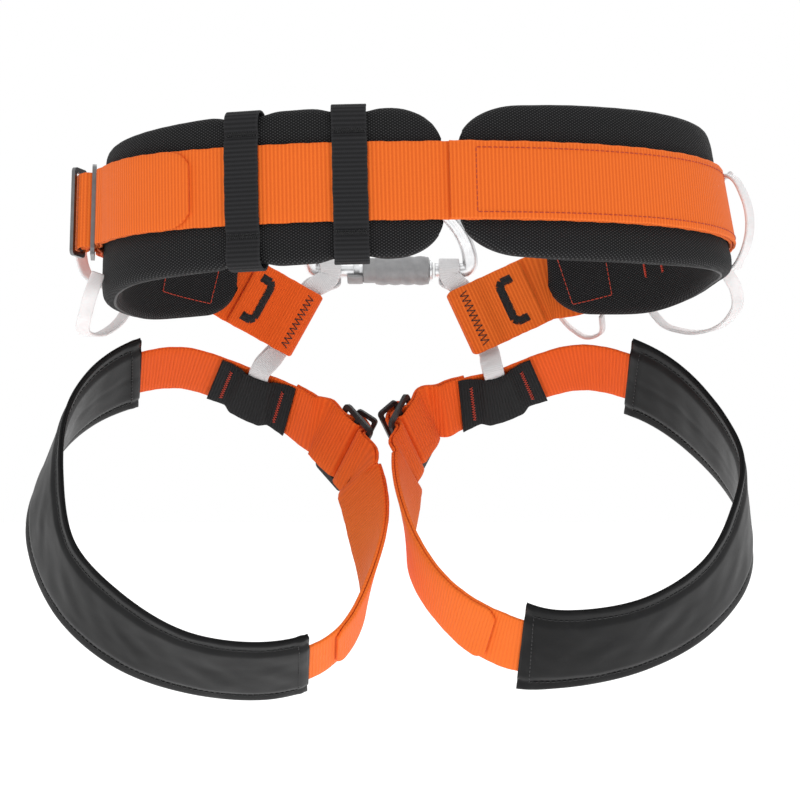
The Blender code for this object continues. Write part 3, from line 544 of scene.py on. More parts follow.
def webbing(name, light, dark, pitch, half, depth=0.00028, sheen=0.25, painted_light_low=None):
    """Woven strap: ribs across it with painted shade in the grooves between them, fine warp threads along
    it, a plain selvedge, uneven dye and, where asked, a painted lighter tint low down.
    """
    thread, rib_share = 0.0011, 0.80
    m = Nodes(name, light, 0.8, sheen=sheen, specular=0.2)
    u, v = m.uv()
    rib = wave01(m, u, pitch)
    warp = wave01(m, m.maths("ADD", v, m.maths("MULTIPLY", rib, thread * 0.35)), thread)
    from_edge = m.maths("SUBTRACT", half, m.maths("ABSOLUTE", v))
    edge = m.maths("SMOOTH_MIN", m.maths("MULTIPLY", from_edge, 700.0), 1.0, 0.2)
    weave = m.maths("MULTIPLY_ADD", rib, rib_share, m.maths("MULTIPLY", warp, 1 - rib_share))
    place = m.place()
    broad = m.noise(place, 14.0, 2.0)
    fuzz = m.noise(place, 1500.0, 2.0, 0.7)
    # Colour follows the ribs: the darker colour in the grooves between them is painted shade.
    colour = m.mix(m.maths("MULTIPLY_ADD", rib, 0.62, m.maths("MULTIPLY", fuzz, 0.38)), dark, light)
    # Below a height of -0.20 m, easing out by -0.145 m, the colour turns a yellower orange: painted light,
    # for how the light falls on the lower leg straps.
    if painted_light_low is not None:
        low, high, painted_light_tint = painted_light_low
        split = m.tree.nodes.new("ShaderNodeSeparateXYZ")
        m.link(place, split.inputs[0])
        share = m.tree.nodes.new("ShaderNodeMapRange")
        share.inputs["From Min"].default_value = low
        share.inputs["From Max"].default_value = high
        m.link(split.outputs[2], share.inputs["Value"])
        colour = m.mix(share.outputs[0], m.mix(rib, tuple(c * 0.9 for c in painted_light_tint), painted_light_tint), colour)
    colour = m.mix(m.maths("MULTIPLY", broad, 0.16), colour, tuple(c * 0.7 for c in light))
    worn = m.maths("MULTIPLY", m.maths("SUBTRACT", 1.0, edge), 0.35)
    colour = m.mix(worn, colour, tuple(min(1.0, c * 1.08 + 0.012) for c in light))
    m.colour(colour)
    m.roughness(m.maths("MULTIPLY_ADD", fuzz, 0.25, 0.62))
    height = m.maths("ADD", weave, m.maths("MULTIPLY", fuzz, 0.25))
    m.bump(height, depth)
    return m.material


def pad_mesh_fabric():
    """Spacer mesh: rows of small diamond cells, the thread tops in painted highlight and the hollows in
    painted shade.
    """
    m = Nodes("pad_mesh_fabric", (0.02, 0.02, 0.021), 0.8, specular=0.2)
    u, v = m.uv()
    place = m.place()
    a = m.maths("ADD", m.maths("MULTIPLY", u, 0.62), v)
    b = m.maths("SUBTRACT", m.maths("MULTIPLY", u, 0.62), v)
    cells = m.maths("MULTIPLY", wave01(m, a, 0.00165), wave01(m, b, 0.00165))
    fuzz = m.noise(place, 2200.0, 2.0, 0.7)
    broad = m.noise(place, 22.0, 3.0)
    # Cell height sets the colour: painted highlight on the tops, painted shade in the hollows.
    lit = m.maths("MULTIPLY", cells, m.maths("MULTIPLY_ADD", fuzz, 0.7, 0.55))
    colour = m.ramp(lit, (0.0, (0.002, 0.002, 0.0022)), (0.32, (0.006, 0.006, 0.0065)),
                    (0.80, (0.078, 0.078, 0.080)))
    colour = m.mix(m.maths("MULTIPLY", broad, 0.35), colour, (0.010, 0.010, 0.011))
    m.colour(colour)
    m.roughness(m.maths("MULTIPLY_ADD", fuzz, 0.3, 0.6))
    m.bump(m.maths("ADD", cells, m.maths("MULTIPLY", fuzz, 0.3)), 0.00045)
    return m.material


def vinyl(name, base):
    """Coated fabric: almost smooth, faint grain, soft creases and slightly duller rubbed patches."""
    m = Nodes(name, (base, base, base * 1.05), 0.4, specular=0.11)
    place = m.place()
    grain = m.noise(place, 1400.0, 3.0, 0.6)
    crease = m.noise(place, 26.0, 2.0, 0.45)
    scuff = m.noise(place, 75.0, 5.0, 0.65)
    m.colour(m.ramp(scuff, (0.25, (base * 0.85,) * 3), (0.55, (base, base, base * 1.06)),
                    (0.80, (base * 1.9,) * 3)))
    m.roughness(m.maths("MULTIPLY_ADD", scuff, 0.16, 0.29))
    first = m.bump(crease, 0.0035, 0.55)
    m.bump(grain, 0.00006, 0.8, first)
    return m.material


def metal(name, colour, roughness, metallic=1.0, wear=None):
    """Bare or coated metal with fine brushing and paler, rubbed patches."""
    m = Nodes(name, colour, roughness, metallic=metallic)
    place = m.place()
    stretch = m.tree.nodes.new("ShaderNodeVectorMath")
    stretch.operation = "MULTIPLY"
    stretch.inputs[1].default_value = (1.0, 1.0, 0.06)
    m.link(place, stretch.inputs[0])
    lines = m.noise(stretch.outputs[0], 900.0, 3.0, 0.6)
    spots = m.noise(place, 160.0, 4.0, 0.6)
    dull = tuple(c * 0.82 for c in colour)
    rubbed = wear or tuple(min(1.0, c * 1.12) for c in colour)
    m.colour(m.ramp(spots, (0.3, dull), (0.6, colour), (0.8, rubbed)))
    m.roughness(m.maths("MULTIPLY_ADD", lines, 0.22, roughness - 0.1))
    m.bump(lines, 0.00003, 0.7)
    return m.material


def thread_material(name, colour):
    """Twisted sewing thread."""
    m = Nodes(name, colour, 0.6, sheen=0.2, specular=0.35)
    place = m.place()
    twist = m.noise(place, 3000.0, 2.0, 0.6)
    m.colour(m.mix(m.maths("MULTIPLY", twist, 0.6), colour, tuple(c * 0.45 for c in colour)))
    m.bump(twist, 0.00008)
    return m.material


def loop_plastic():
    """Milky flexible plastic ribbon with a faint fine rib along it."""
    m = Nodes("gear_loop_milky", (0.79, 0.765, 0.765), 0.5, specular=0.4)
    u, _ = m.uv()
    place = m.place()
    cloud = m.noise(place, 60.0, 3.0)
    fine = wave01(m, u, 0.0009)
    m.colour(m.ramp(cloud, (0.3, (0.72, 0.69, 0.69)), (0.7, (0.84, 0.81, 0.81))))
    m.set("Subsurface Weight", 0.25)
    m.set("Subsurface Radius", (0.006, 0.004, 0.004))
    m.roughness(m.maths("MULTIPLY_ADD", cloud, 0.2, 0.4))
    m.bump(fine, 0.00008, 0.8)
    return m.material


ORANGE = webbing("belt_orange", (0.92, 0.185, 0.022), (0.64, 0.090, 0.007), 0.00222, BELT_HALF, sheen=0.05)
TAB_ORANGE = webbing("tab_orange", (0.93, 0.128, 0.012), (0.72, 0.080, 0.006), 0.00180, BELT_HALF,
                     sheen=0.05)
# The yellower tint low down on the leg straps is painted light.
LEG_ORANGE = webbing("leg_orange", (0.93, 0.126, 0.012), (0.72, 0.080, 0.006), 0.00222, LEG_HALF, sheen=0.05,
                     painted_light_low=(-0.20, -0.145, (0.90, 0.17, 0.020)))
BLACK = webbing("black_ribbed", (0.026, 0.026, 0.028), (0.005, 0.005, 0.0055), 0.0025, 0.010, depth=0.0005,
                sheen=0.0)
KEEPER = webbing("keeper_black", (0.015, 0.015, 0.016), (0.004, 0.004, 0.0045), 0.0019, LEG_HALF,
                 depth=0.0005, sheen=0.0)
WHITE = webbing("white_tape", (0.80, 0.785, 0.79), (0.66, 0.65, 0.655), 0.0011, TAPE_HALF,
                depth=0.00016, sheen=0.1)
MESH = pad_mesh_fabric()
VINYL = vinyl("cover_vinyl_black", 0.0070)
STEEL = metal("buckle_steel_plain", (0.22, 0.22, 0.225), 0.34)
COATED = metal("buckle_black_coat", (0.030, 0.030, 0.031), 0.42, metallic=0.35, wear=(0.055, 0.055, 0.056))
ALLOY = metal("carabiner_alloy", (0.86, 0.87, 0.88), 0.34, metallic=0.75)
SLEEVE = metal("sleeve_grey_anodised", (0.33, 0.33, 0.335), 0.5, metallic=0.2)
WIRE = metal("spring_wire", (0.6, 0.6, 0.6), 0.3)
LOOP = loop_plastic()
THREAD_BLACK = thread_material("thread_black", (0.008, 0.008, 0.009))
THREAD_RED = thread_material("thread_red", (0.62, 0.050, 0.020))
THREAD_RUST = thread_material("thread_rust", (0.50, 0.045, 0.012))
THREAD_GREY = thread_material("thread_dark", (0.018, 0.018, 0.019))


# ---------------------------------------------------------------- waist belt

waist = waist_track()


def pad_outline(side, share):
    """Heights of a pad's upper and lower edges at these shares of its length."""
    span, tops, lows, corners = PADS[side]
    knots = np.linspace(0, 1, len(tops))
    fine = np.linspace(0, 1, 241)
    kernel = np.hanning(31) / np.hanning(31).sum()

    def soft(values):
        line = np.interp(fine, knots, values)
        line = np.convolve(np.pad(line, 15, mode="edge"), kernel, mode="valid")
        return np.interp(share, fine, line)

    length = abs(span[1] - span[0])
    rounding = 0
    for from_end, (reach, depth) in zip((share * length, (1 - share) * length), corners):
        rounding = rounding + (1 - np.sqrt(1 - (1 - np.clip(from_end / reach, 0, 1)) ** 2)) * depth
    top, low = soft(tops) - rounding, soft(lows) + rounding
    if side == "left":
        s = span[0] + (span[1] - span[0]) * share
        held = sum(np.exp(-(((s - at - LOOP_SHIFT) / PINCH_REACH) ** 4)) for at in TOOL_LOOPS.values())
        top, low = top - PINCH * held, low + PINCH * held
    return top, low


def pad_piece(side):
    """A foam pad in mesh cloth: two faces that meet in a rounded rim, pressed in a little under the belt."""
    span = PADS[side][0]
    end = 0.5 - 0.5 * np.cos(np.linspace(0, math.pi / 2, 16))
    reach = 0.035 / abs(span[1] - span[0])
    share = np.concatenate([end * reach / end[-1], np.linspace(reach, 1 - reach, 120)[1:-1],
                            (1 - end * reach / end[-1])[::-1]])
    rim = 0.5 - 0.5 * np.cos(np.linspace(0, math.pi / 2, 9))
    level = np.concatenate([rim * 0.12 / rim[-1], np.linspace(0.12, 0.88, 30)[1:-1],
                            (1 - rim * 0.12 / rim[-1])[::-1]])
    top, low = pad_outline(side, share)
    s = span[0] + (span[1] - span[0]) * share
    S = np.repeat(s[:, None], len(level), 1)
    H = low[:, None] + (top - low)[:, None] * level[None, :]
    dense = np.linspace(0, 1, 900)
    dtop, dlow = pad_outline(side, dense)
    ds = span[0] + (span[1] - span[0]) * dense
    edge = [np.stack([ds, dtop], 1), np.stack([ds, dlow], 1)]
    for k in (0, -1):
        edge.append(np.stack([np.full(60, ds[k]), np.linspace(dlow[k], dtop[k], 60)], 1))
    edge = np.vstack(edge)
    away = np.sqrt(((np.stack([S, H], -1)[:, :, None] - edge[None, None]) ** 2).sum(-1)).min(-1)
    away[0], away[-1], away[:, 0], away[:, -1] = 0, 0, 0, 0
    round_r = 0.0055
    near = np.clip(away / round_r, 0, 1)
    full = np.sqrt(1 - (1 - near) ** 2)
    press = np.clip((np.abs(H) - 0.0225) / 0.006, 0, 1) * np.clip((away - 0.004) / 0.006, 0, 1)
    puff = 0.0006 * press * press * (3 - 2 * press)
    outer = -PAD_T / 2 + (PAD_T / 2 + puff) * full
    inner = -PAD_T / 2 - (PAD_T / 2 - 0.0002) * full
    rows, cols = S.shape
    front = waist.on(S, outer, H)
    back = waist.on(S, inner, H)
    index_back = np.full((rows, cols), -1)
    points = list(front)
    for i in range(rows):
        for j in range(cols):
            if i in (0, rows - 1) or j in (0, cols - 1):
                index_back[i, j] = i * cols + j
            else:
                index_back[i, j] = len(points)
                points.append(back[i * cols + j])
    faces, uvs = [], []
    turn = span[1] > span[0]
    for i in range(rows - 1):
        for j in range(cols - 1):
            grid = ((i, j), (i + 1, j), (i + 1, j + 1), (i, j + 1))
            for which, flip in ((0, not turn), (1, turn)):
                corners = [(a * cols + b) if which == 0 else index_back[a, b] for a, b in grid]
                mapped = [(S[a, b], H[a, b]) for a, b in grid]
                faces.append(tuple(corners[::-1] if flip else corners))
                uvs += mapped[::-1] if flip else mapped
    pad = new_mesh(f"pad_{side}_foam", points, faces, MESH, uvs)
    return placed(pad, "belt", "pad_fabric", f"pad_{side}")


def pad_rim_line(side, inset, out):
    """Points all round a pad, inset from its edge."""
    span = PADS[side][0]
    share = np.linspace(0.006, 0.994, 300)
    top, low = pad_outline(side, share)
    s = span[0] + (span[1] - span[0]) * share
    loop = np.concatenate([np.stack([s, top], 1), np.stack([s, low], 1)[::-1]])
    ahead = unit(np.roll(loop, -1, 0) - np.roll(loop, 1, 0))
    inward = np.stack([ahead[:, 1], -ahead[:, 0]], 1)
    middle = loop.mean(0)
    if ((middle - loop) * inward).sum() < 0:
        inward = -inward
    loop = loop + inward * inset
    return waist.on(loop[:, 0], out, loop[:, 1])


def closed_tube(name, points, radius, material, sides=8):
    along = tangents(points, True)
    count = len(points)
    middle = points.mean(0)
    side = unit(np.cross(along, points - middle))
    side = unit(side - (side * along).sum(1)[:, None] * along)
    third = np.cross(along, side)
    turn = np.arange(sides) * 2 * math.pi / sides
    rings = np.stack([points + side * radius * math.cos(a) + third * radius * math.sin(a) for a in turn], 1)
    at = np.arange(count + 1) * 0.003
    return swept(name, at, rings, list(turn * radius), material, True)


def belt_surface(out):
    def place(s, h):
        centre, _, outward, width = (r[0] for r in waist.frame(s))
        return centre + outward * out + width * h, outward
    return place


def pad_inner_surface(s, h):
    centre, _, outward, width = (r[0] for r in waist.frame(s))
    return centre - outward * (PAD_T + 0.0001) + width * h, -outward


def tab_axes(side):
    fold, width, along = (np.array(v) for v in TABS[side])
    width = unit(width)
    along = unit(along - (along @ width) * width)
    facing = np.cross(along, width)
    facing = facing if facing[1] < 0 else -facing
    return fold - along * (CHANNEL_R + WEB_T / 2), width, along, facing


def tab_profile():
    """(along, facing) of the folded tab's webbing, from the pad side round the fold."""
    flat, neck = LAYER / 2, CHANNEL_R * 0.9
    out = [(-0.0535, -flat), (-0.036, -flat), (-0.0175, -flat), (-0.0118, -neck)]
    out += arc((0, 0), CHANNEL_R, -80, 80, 10)
    return out + [(-0.0118, neck), (-0.0175, flat), (-0.036, flat), (-TAB_OVERLAP, flat)]


def tab_fold(side):
    middle, width, along, facing = tab_axes(side)
    points = np.array([middle + along * a + facing * n for a, n in tab_profile()])
    return points, np.broadcast_to(width, points.shape)


def fold_rounding(points, side):
    """How much narrower the webbing is drawn in where it folds round the tab's channel."""
    middle, _, along, _ = tab_axes(side)
    tip = middle + along * CHANNEL_R
    away = np.linalg.norm(points - tip, axis=1)
    return 0.0022 * np.clip(1 - away / 0.0062, 0, 1) ** 1.5


def tab_surface(side):
    """Places on the tab's side that faces the wearer: distance behind the channel's middle, and across."""
    middle, width, along, facing = tab_axes(side)
    line, _ = smooth(tab_fold(side))
    rows = np.stack([(line - middle) @ along, (line - middle) @ facing], 1)
    rows = rows[rows[:, 0].argmax():]
    rows = rows[rows[:, 0].argsort()]

    def place(a, w):
        n = np.interp(a, rows[:, 0], rows[:, 1])
        ahead, behind = (np.interp(a + d, rows[:, 0], rows[:, 1]) for d in (5e-4, -5e-4))
        slope = (ahead - behind) / 1e-3
        up = unit(facing - along * slope)
        return middle + along * a + facing * n + up * (WEB_T / 2 + 0.0001) + width * w, up
    return place


class BucklePlace:
    def __init__(self, track, place, towards_fixed, lift):
        centre, along, outward, width = (rows[0] for rows in track.frame(place))
        self.q, self.o, self.w = along * towards_fixed, outward, width
        self.centre = centre + outward * lift

    def points(self, steps):
        points = np.array([self.centre + self.q * q + self.o * o for q, o in steps])
        return points, np.broadcast_to(self.w, points.shape)


def fixed_strap_steps():
    out = [(0.022, -0.0006), (0.0145, -0.0009), (0.0105, -0.0006), (0.0045, 0.0004)]
    out += arc((0, BAR_CENTRE), FOLD_R, 275, 70, 9)
    return out + [(0.0058, 0.0052), (0.0090, 0.0021), (0.0110, 0.0016), (0.0150, 0.0016), (0.0220, 0.0018)]


def free_strap_steps():
    out = [(-0.0225, -0.0008), (-0.0150, -0.0009), (-0.0112, -0.0009), (-0.0085, 0.0000), (-0.0070, 0.0020)]
    out += [(-0.0064, 0.0045), (-0.0040, 0.0088), (0.0004, 0.0104)] + arc(SLIDER_FAR, FOLD_R, -110, 90, 8)
    out += [(0.0000, 0.0138), (-0.0062, 0.0116), (-0.0092, 0.0080), (-0.0098, 0.0056), (-0.0099, 0.0040)]
    return out + [(-0.0106, 0.0024), (-0.0122, 0.0016), (-0.0150, 0.0015), (-0.0240, 0.0017)]


def make_belt():
    place = BucklePlace(waist, WAIST_BUCKLE, -1, FIRST + 0.0010)
    free = place.points(free_strap_steps())
    tail = waist.path(straight(TAIL_END, WAIST_BUCKLE + 0.030, FIRST + LAYER))
    back = waist.path(straight(WAIST_BUCKLE + 0.030, 0.335, FIRST + 0.0002)
                      + [(0.345, 0.0024, -0.001), (0.355, 0.0036, -0.006), (0.365, 0.0052, -0.0115),
                         (0.375, 0.0068, -0.018)])
    line = joined(tail, (free[0][::-1], free[1]), back, tab_fold("right"))
    points, _ = smooth(line)
    at = np.concatenate([[0], np.cumsum(np.linalg.norm(np.diff(points, axis=0), axis=1))])
    end = np.clip(1 - at / 0.020, 0, 1)
    half = BELT_HALF * np.sqrt(np.clip(1 - 0.62 * end**3.2, 0.05, 1)) - fold_rounding(points, "right")
    webbing_piece = strap("belt_webbing", line, -half, half, WEB_T, ORANGE, seed=0.4)
    placed(webbing_piece, "belt", "orange_webbing", "waist_webbing")

    fixed = place.points(fixed_strap_steps())
    fold = tab_fold("left")
    side = waist.path([(-0.378, 0.0050, -0.017), (-0.362, 0.0031, -0.008), (-0.345, 0.0020, -0.002)]
                      + straight(-0.330, WAIST_BUCKLE - 0.030, FIRST))
    back_layer = waist.path(straight(WAIST_BUCKLE - 0.030, WAIST_BUCKLE - 0.075, FIRST + LAYER))
    line = joined((fold[0][::-1], fold[1]), side, fixed, back_layer)
    half = BELT_HALF - fold_rounding(smooth(line)[0], "left")
    front = strap("front_webbing_left", line, -half, half, WEB_T, TAB_ORANGE, seed=1.7)
    placed(front, "belt", "orange_webbing", "front_left_webbing")

    slant = waist.path(straight(0.0026, 0.325, FIRST + LAYER + 0.0002))
    layer = strap("belt_second_layer", slant, -BELT_HALF, BELT_HALF, WEB_T, ORANGE, seed=2.9)
    placed(layer, "belt", "orange_webbing", "belt_reinforcement")

    top = belt_surface(FIRST + LAYER + 0.0002 + WEB_T / 2)
    runs = seam(top, (0.0175, -0.0185), (0.0175, 0.0185), 0.0030, 0.00028)
    for h in (0.0185, -0.0185):
        runs += seam(top, (0.0175, h), (0.318, h), 0.0032, 0.00028)
    runs += seam(top, (0.318, 0.0185), (0.318, -0.0185), 0.0030, 0.00028)
    placed(threads("belt_layer_stitching", runs, 0.00030, THREAD_RUST), "belt", "orange_webbing")


def make_tool_loops():
    for name, at in TOOL_LOOPS.items():
        centre, along, outward, width = (rows[0] for rows in waist.frame(at + LOOP_SHIFT))
        span, tops, lows, _ = PADS["left"]
        knots = np.linspace(span[0], span[1], len(tops))[::-1]
        top = np.interp(at, knots, tops[::-1]) - 0.0006
        low = np.interp(at, knots, lows[::-1]) + 0.0006
        over = FIRST + WEB_T / 2 + 0.0014
        rest = 0.0016
        inner = -PAD_T - rest
        half = BELT_HALF
        steps = [(top - 0.0014, inner), (top, inner + 0.0014), (top, rest - 0.0014), (top - 0.0014, rest),
                 (half + 0.0065, rest), (half + 0.0052, rest - 0.0002),
                 (half + 0.0020, over - 0.0002), (half, over), (0.0, over + 0.0002), (-half, over),
                 (-half - 0.0020, over - 0.0002), (-half - 0.0052, rest - 0.0002),
                 (-half - 0.0065, rest), (low + 0.0014, rest), (low, rest - 0.0014), (low, inner + 0.0014),
                 (low + 0.0014, inner), (0.0, inner - 0.0002)]
        points = np.array([centre + width * h + outward * o for h, o in steps])
        line = (points, np.broadcast_to(along, points.shape))
        loop = strap(f"tool_loop_{name}_webbing", line, -0.010, 0.010, 0.0014, BLACK, closed=True,
                     seed=at * 50, wave=0.00009)
        placed(loop, "belt", "black_webbing", f"tool_loop_{name}")

        def surface(a, h, out=rest + 0.0008):
            return centre + along * a + width * h + outward * out, outward
        runs = []
        for h in (half + 0.0068, -half - 0.0068):
            runs += satin(surface, [(-0.0088, h), (0.0088, h)], 0.0012, 0.00062, 0.0004, at * 90 + h, 0.0003)
        placed(threads(f"tool_loop_{name}_tacks", runs, 0.00028, THREAD_BLACK), "belt", "black_webbing")


def make_tab_stitching():
    for side in ("left", "right"):
        place = tab_surface(side)
        runs = zigzag(place, (-0.0046, -0.0185), (-0.0046, 0.0185), 0.0027, 21, 0.0004)
        placed(threads(f"tab_{side}_zigzag", runs, 0.00030, THREAD_BLACK), "belt", "orange_webbing")
        near = 0.0 if side == "left" else 0.0028
        path = [(near + a, w) for a, w in ((-0.0400, -0.0140), (-0.0330, -0.0140), (-0.0305, -0.0115),
                                           (-0.0305, 0.0115), (-0.0330, 0.0140), (-0.0400, 0.0140))]
        runs = satin(place, path, 0.0025, 0.00038, 0.0006, 3.0 if side == "left" else 9.0, 0.0010)
        placed(threads(f"tab_{side}_bar_tack", runs, 0.00034, THREAD_BLACK), "belt", "orange_webbing")


def make_pad_details():
    for side in ("left", "right"):
        pad_piece(side)
        line = pad_rim_line(side, 0.0006, -PAD_T * 0.62)
        piping = closed_tube(f"pad_{side}_piping", line, 0.00085, THREAD_BLACK)
        placed(piping, "belt", "pad_fabric")
    red = []
    red += seam(pad_inner_surface, (-0.333, -0.035), (-0.373, -0.038), 0.0030, 0.0003)
    red += seam(pad_inner_surface, (-0.373, -0.038), (-0.378, -0.010), 0.0030, 0.0003)
    red += seam(pad_inner_surface, (-0.333, -0.035), (-0.336, -0.006), 0.0030, 0.0003)
    placed(threads("pad_left_red_stitching", red, 0.00030, THREAD_RED), "belt", "pad_fabric")
    red = []
    corners = ((0.384, -0.002), (0.376, -0.032), (0.349, -0.028), (0.350, -0.004))
    for a, b in zip(corners, corners[1:] + corners[:1]):
        red += seam(pad_inner_surface, a, b, 0.0030, 0.0003)
    tacks = (([(0.3215, -0.008), (0.3220, -0.020)], 2.0), ([(0.3070, -0.011), (0.3070, -0.019)], 5.0))
    for path, seed in tacks:
        red += satin(pad_inner_surface, path, 0.0006, 0.0006, 0.0003, seed, 0.0002)
    placed(threads("pad_right_red_stitching", red, 0.00030, THREAD_RED), "belt", "pad_fabric")


# ---------------------------------------------------------------- leg loops

legs = {side: leg_track(side) for side in ("left", "right")}


def make_leg(side):
    track = legs[side]
    body = f"leg_{side}"
    at = LEG_BUCKLE[side]
    place = BucklePlace(track, at, 1, 0.0)
    free = place.points(free_strap_steps())
    fixed = place.points(fixed_strap_steps())
    tail = track.path(straight(LEG_TAIL[side], at - 0.030, LAYER))
    round_leg = track.path(straight(at - 0.030, at - track.length + 0.030, 0.0))
    back_layer = track.path(straight(at + 0.030, at + 0.046, LAYER))
    line = joined(tail, (free[0][::-1], free[1]), round_leg, fixed, back_layer)
    points, _ = smooth(line)
    along = np.concatenate([[0], np.cumsum(np.linalg.norm(np.diff(points, axis=0), axis=1))])
    end = np.clip(1 - along / 0.008, 0, 1)
    half = LEG_HALF - 0.0060 * end**2
    piece = strap(f"leg_{side}_strap", line, -half, half, WEB_T, LEG_ORANGE, seed=4.0)
    placed(piece, body, "orange_webbing", f"leg_webbing_{side}")
    make_cover(side, track, body)
    make_keeper(side, track, body)


def cover_section(v):
    """Half thickness of the cover at this distance from its middle line."""
    v = abs(v)
    slope_at = 0.0235
    if v < slope_at:
        return COVER_FULL
    if v < COVER_SEAM:
        t = (v - slope_at) / (COVER_SEAM - slope_at)
        return COVER_FULL + (COVER_THIN - COVER_FULL) * t * t * (3 - 2 * t)
    t = (v - COVER_SEAM) / (COVER_HALF - COVER_SEAM)
    return COVER_THIN + 0.00055 * math.sin(min(1, t * 1.15) * math.pi / 2)


def make_cover(side, track, body):
    """The flat vinyl sleeve: outer and inner sheets, sewn near both edges, with folded hems at the ends."""
    span = COVER_SPAN[side]
    stations = np.linspace(span[0], span[1], 200)
    centre, _, outward, width = track.frame(stations)
    vs = np.concatenate([np.linspace(-COVER_HALF, -COVER_SEAM, 6), np.linspace(-0.0270, 0.0270, 22),
                         np.linspace(COVER_SEAM, COVER_HALF, 6)])
    rings, section_uv = [], None
    for i, s in enumerate(stations):
        from_end = min(s - span[0], span[1] - s)
        hem = 0.00055 * np.clip((from_end - 0.0012) / 0.0022, 0, 1)
        hem = hem - 0.00055 * np.clip((from_end - 0.0062) / 0.0016, 0, 1)
        tight = 1.0 - 0.10 * math.exp(-from_end / 0.012)
        row = []
        for v in vs:
            bulge = cover_section(v) * tight
            crease = 0.00022 * math.sin(s * 190 + 3 * math.sin(v * 90)) * math.sin(s * 61 + 1.3)
            crease = crease * math.cos(v * 30)
            row.append((v, bulge + hem + crease))
        row += [(COVER_HALF + 0.0011, 0.0013), (COVER_HALF + 0.0013, 0.0006), (COVER_HALF + 0.0003, 0.0),
                (COVER_HALF + 0.0013, -0.0006), (COVER_HALF + 0.0011, -0.0013)]
        for v in vs[::-1]:
            bulge = cover_section(v) * tight
            groove = 0.0007 * math.exp(-((v / 0.0011) ** 2))
            crease = 0.00045 * math.sin(s * 230 + 40 * v) * math.sin(s * 77 + 0.6)
            crease = crease * math.exp(-((v / 0.018) ** 2))
            row.append((v, -bulge - hem + groove + crease))
        row += [(-COVER_HALF - 0.0011, -0.0013), (-COVER_HALF - 0.0013, -0.0006),
                (-COVER_HALF - 0.0003, 0.0),
                (-COVER_HALF - 0.0013, 0.0006), (-COVER_HALF - 0.0011, 0.0013)]
        if section_uv is None:
            section_uv = [v for v, _ in row]
        rings.append([centre[i] + width[i] * v + outward[i] * n for v, n in row])
    cover = swept(f"leg_{side}_cover_vinyl", stations - span[0], np.array(rings), section_uv, VINYL)
    placed(cover, body, "cover_vinyl", f"leg_cover_{side}")

    def surface(sign):
        def place(s, v):
            c, _, o, w = (r[0] for r in track.frame(s))
            return c + w * v + o * sign * (cover_section(v) + 0.0001), o * sign
        return place
    runs = []
    for sign in (1, -1):
        for v in (0.0290, -0.0290):
            runs += seam(surface(sign), (span[0] + 0.005, v), (span[1] - 0.005, v), 0.0034, 0.00022)
        for s in (span[0] + 0.0066, span[1] - 0.0066):
            runs += seam(surface(sign), (s, -0.0290), (s, 0.0290), 0.0034, 0.00045)
    placed(threads(f"leg_{side}_cover_stitching", runs, 0.00026, THREAD_GREY), body, "cover_vinyl")


def keeper_out(s):
    """How far inside the leg strap the keeper lies at this distance from its middle."""
    flush = -(WEB_T / 2 + 0.0009 + 0.0007)
    bulge = flush - 0.0031
    t = np.clip((abs(s) - 0.0085) / 0.0070, 0, 1)
    t = t * t * (3 - 2 * t)
    return bulge + (flush - bulge) * t


def make_keeper(side, track, body):
    steps = [(s, keeper_out(s)) for s in np.linspace(-KEEPER_REACH, KEEPER_REACH, 41)]
    line = track.path(steps)
    points, _ = smooth(line)
    count = len(points)
    t = np.linspace(-KEEPER_REACH, KEEPER_REACH, count)
    drawn = 0.0018 * np.exp(-((t / 0.012) ** 2))
    tack = np.exp(-(((np.abs(t) - 0.017) / 0.004) ** 2))
    low = -LEG_HALF - 0.0004 + 0.0012 * tack - drawn * 0.6
    high = LEG_HALF + 0.0002 - 0.0010 * tack - drawn * 0.8
    keeper = strap(f"leg_{side}_keeper", line, low, high, 0.0014, KEEPER, seed=6.0, wave=0.00015)
    placed(keeper, body, "black_webbing", f"leg_keeper_{side}")

    def surface(s, v):
        c, _, o, w = (r[0] for r in track.frame(s))
        return c + w * v + o * (keeper_out(s) - 0.0008), -o
    runs = []
    for s in (-0.0190, 0.0190):
        runs += zigzag(surface, (s, -0.0150), (s, 0.0150), 0.0011, 26, 0.0003)
    placed(threads(f"leg_{side}_keeper_tacks", runs, 0.00026, THREAD_RED), body, "black_webbing")


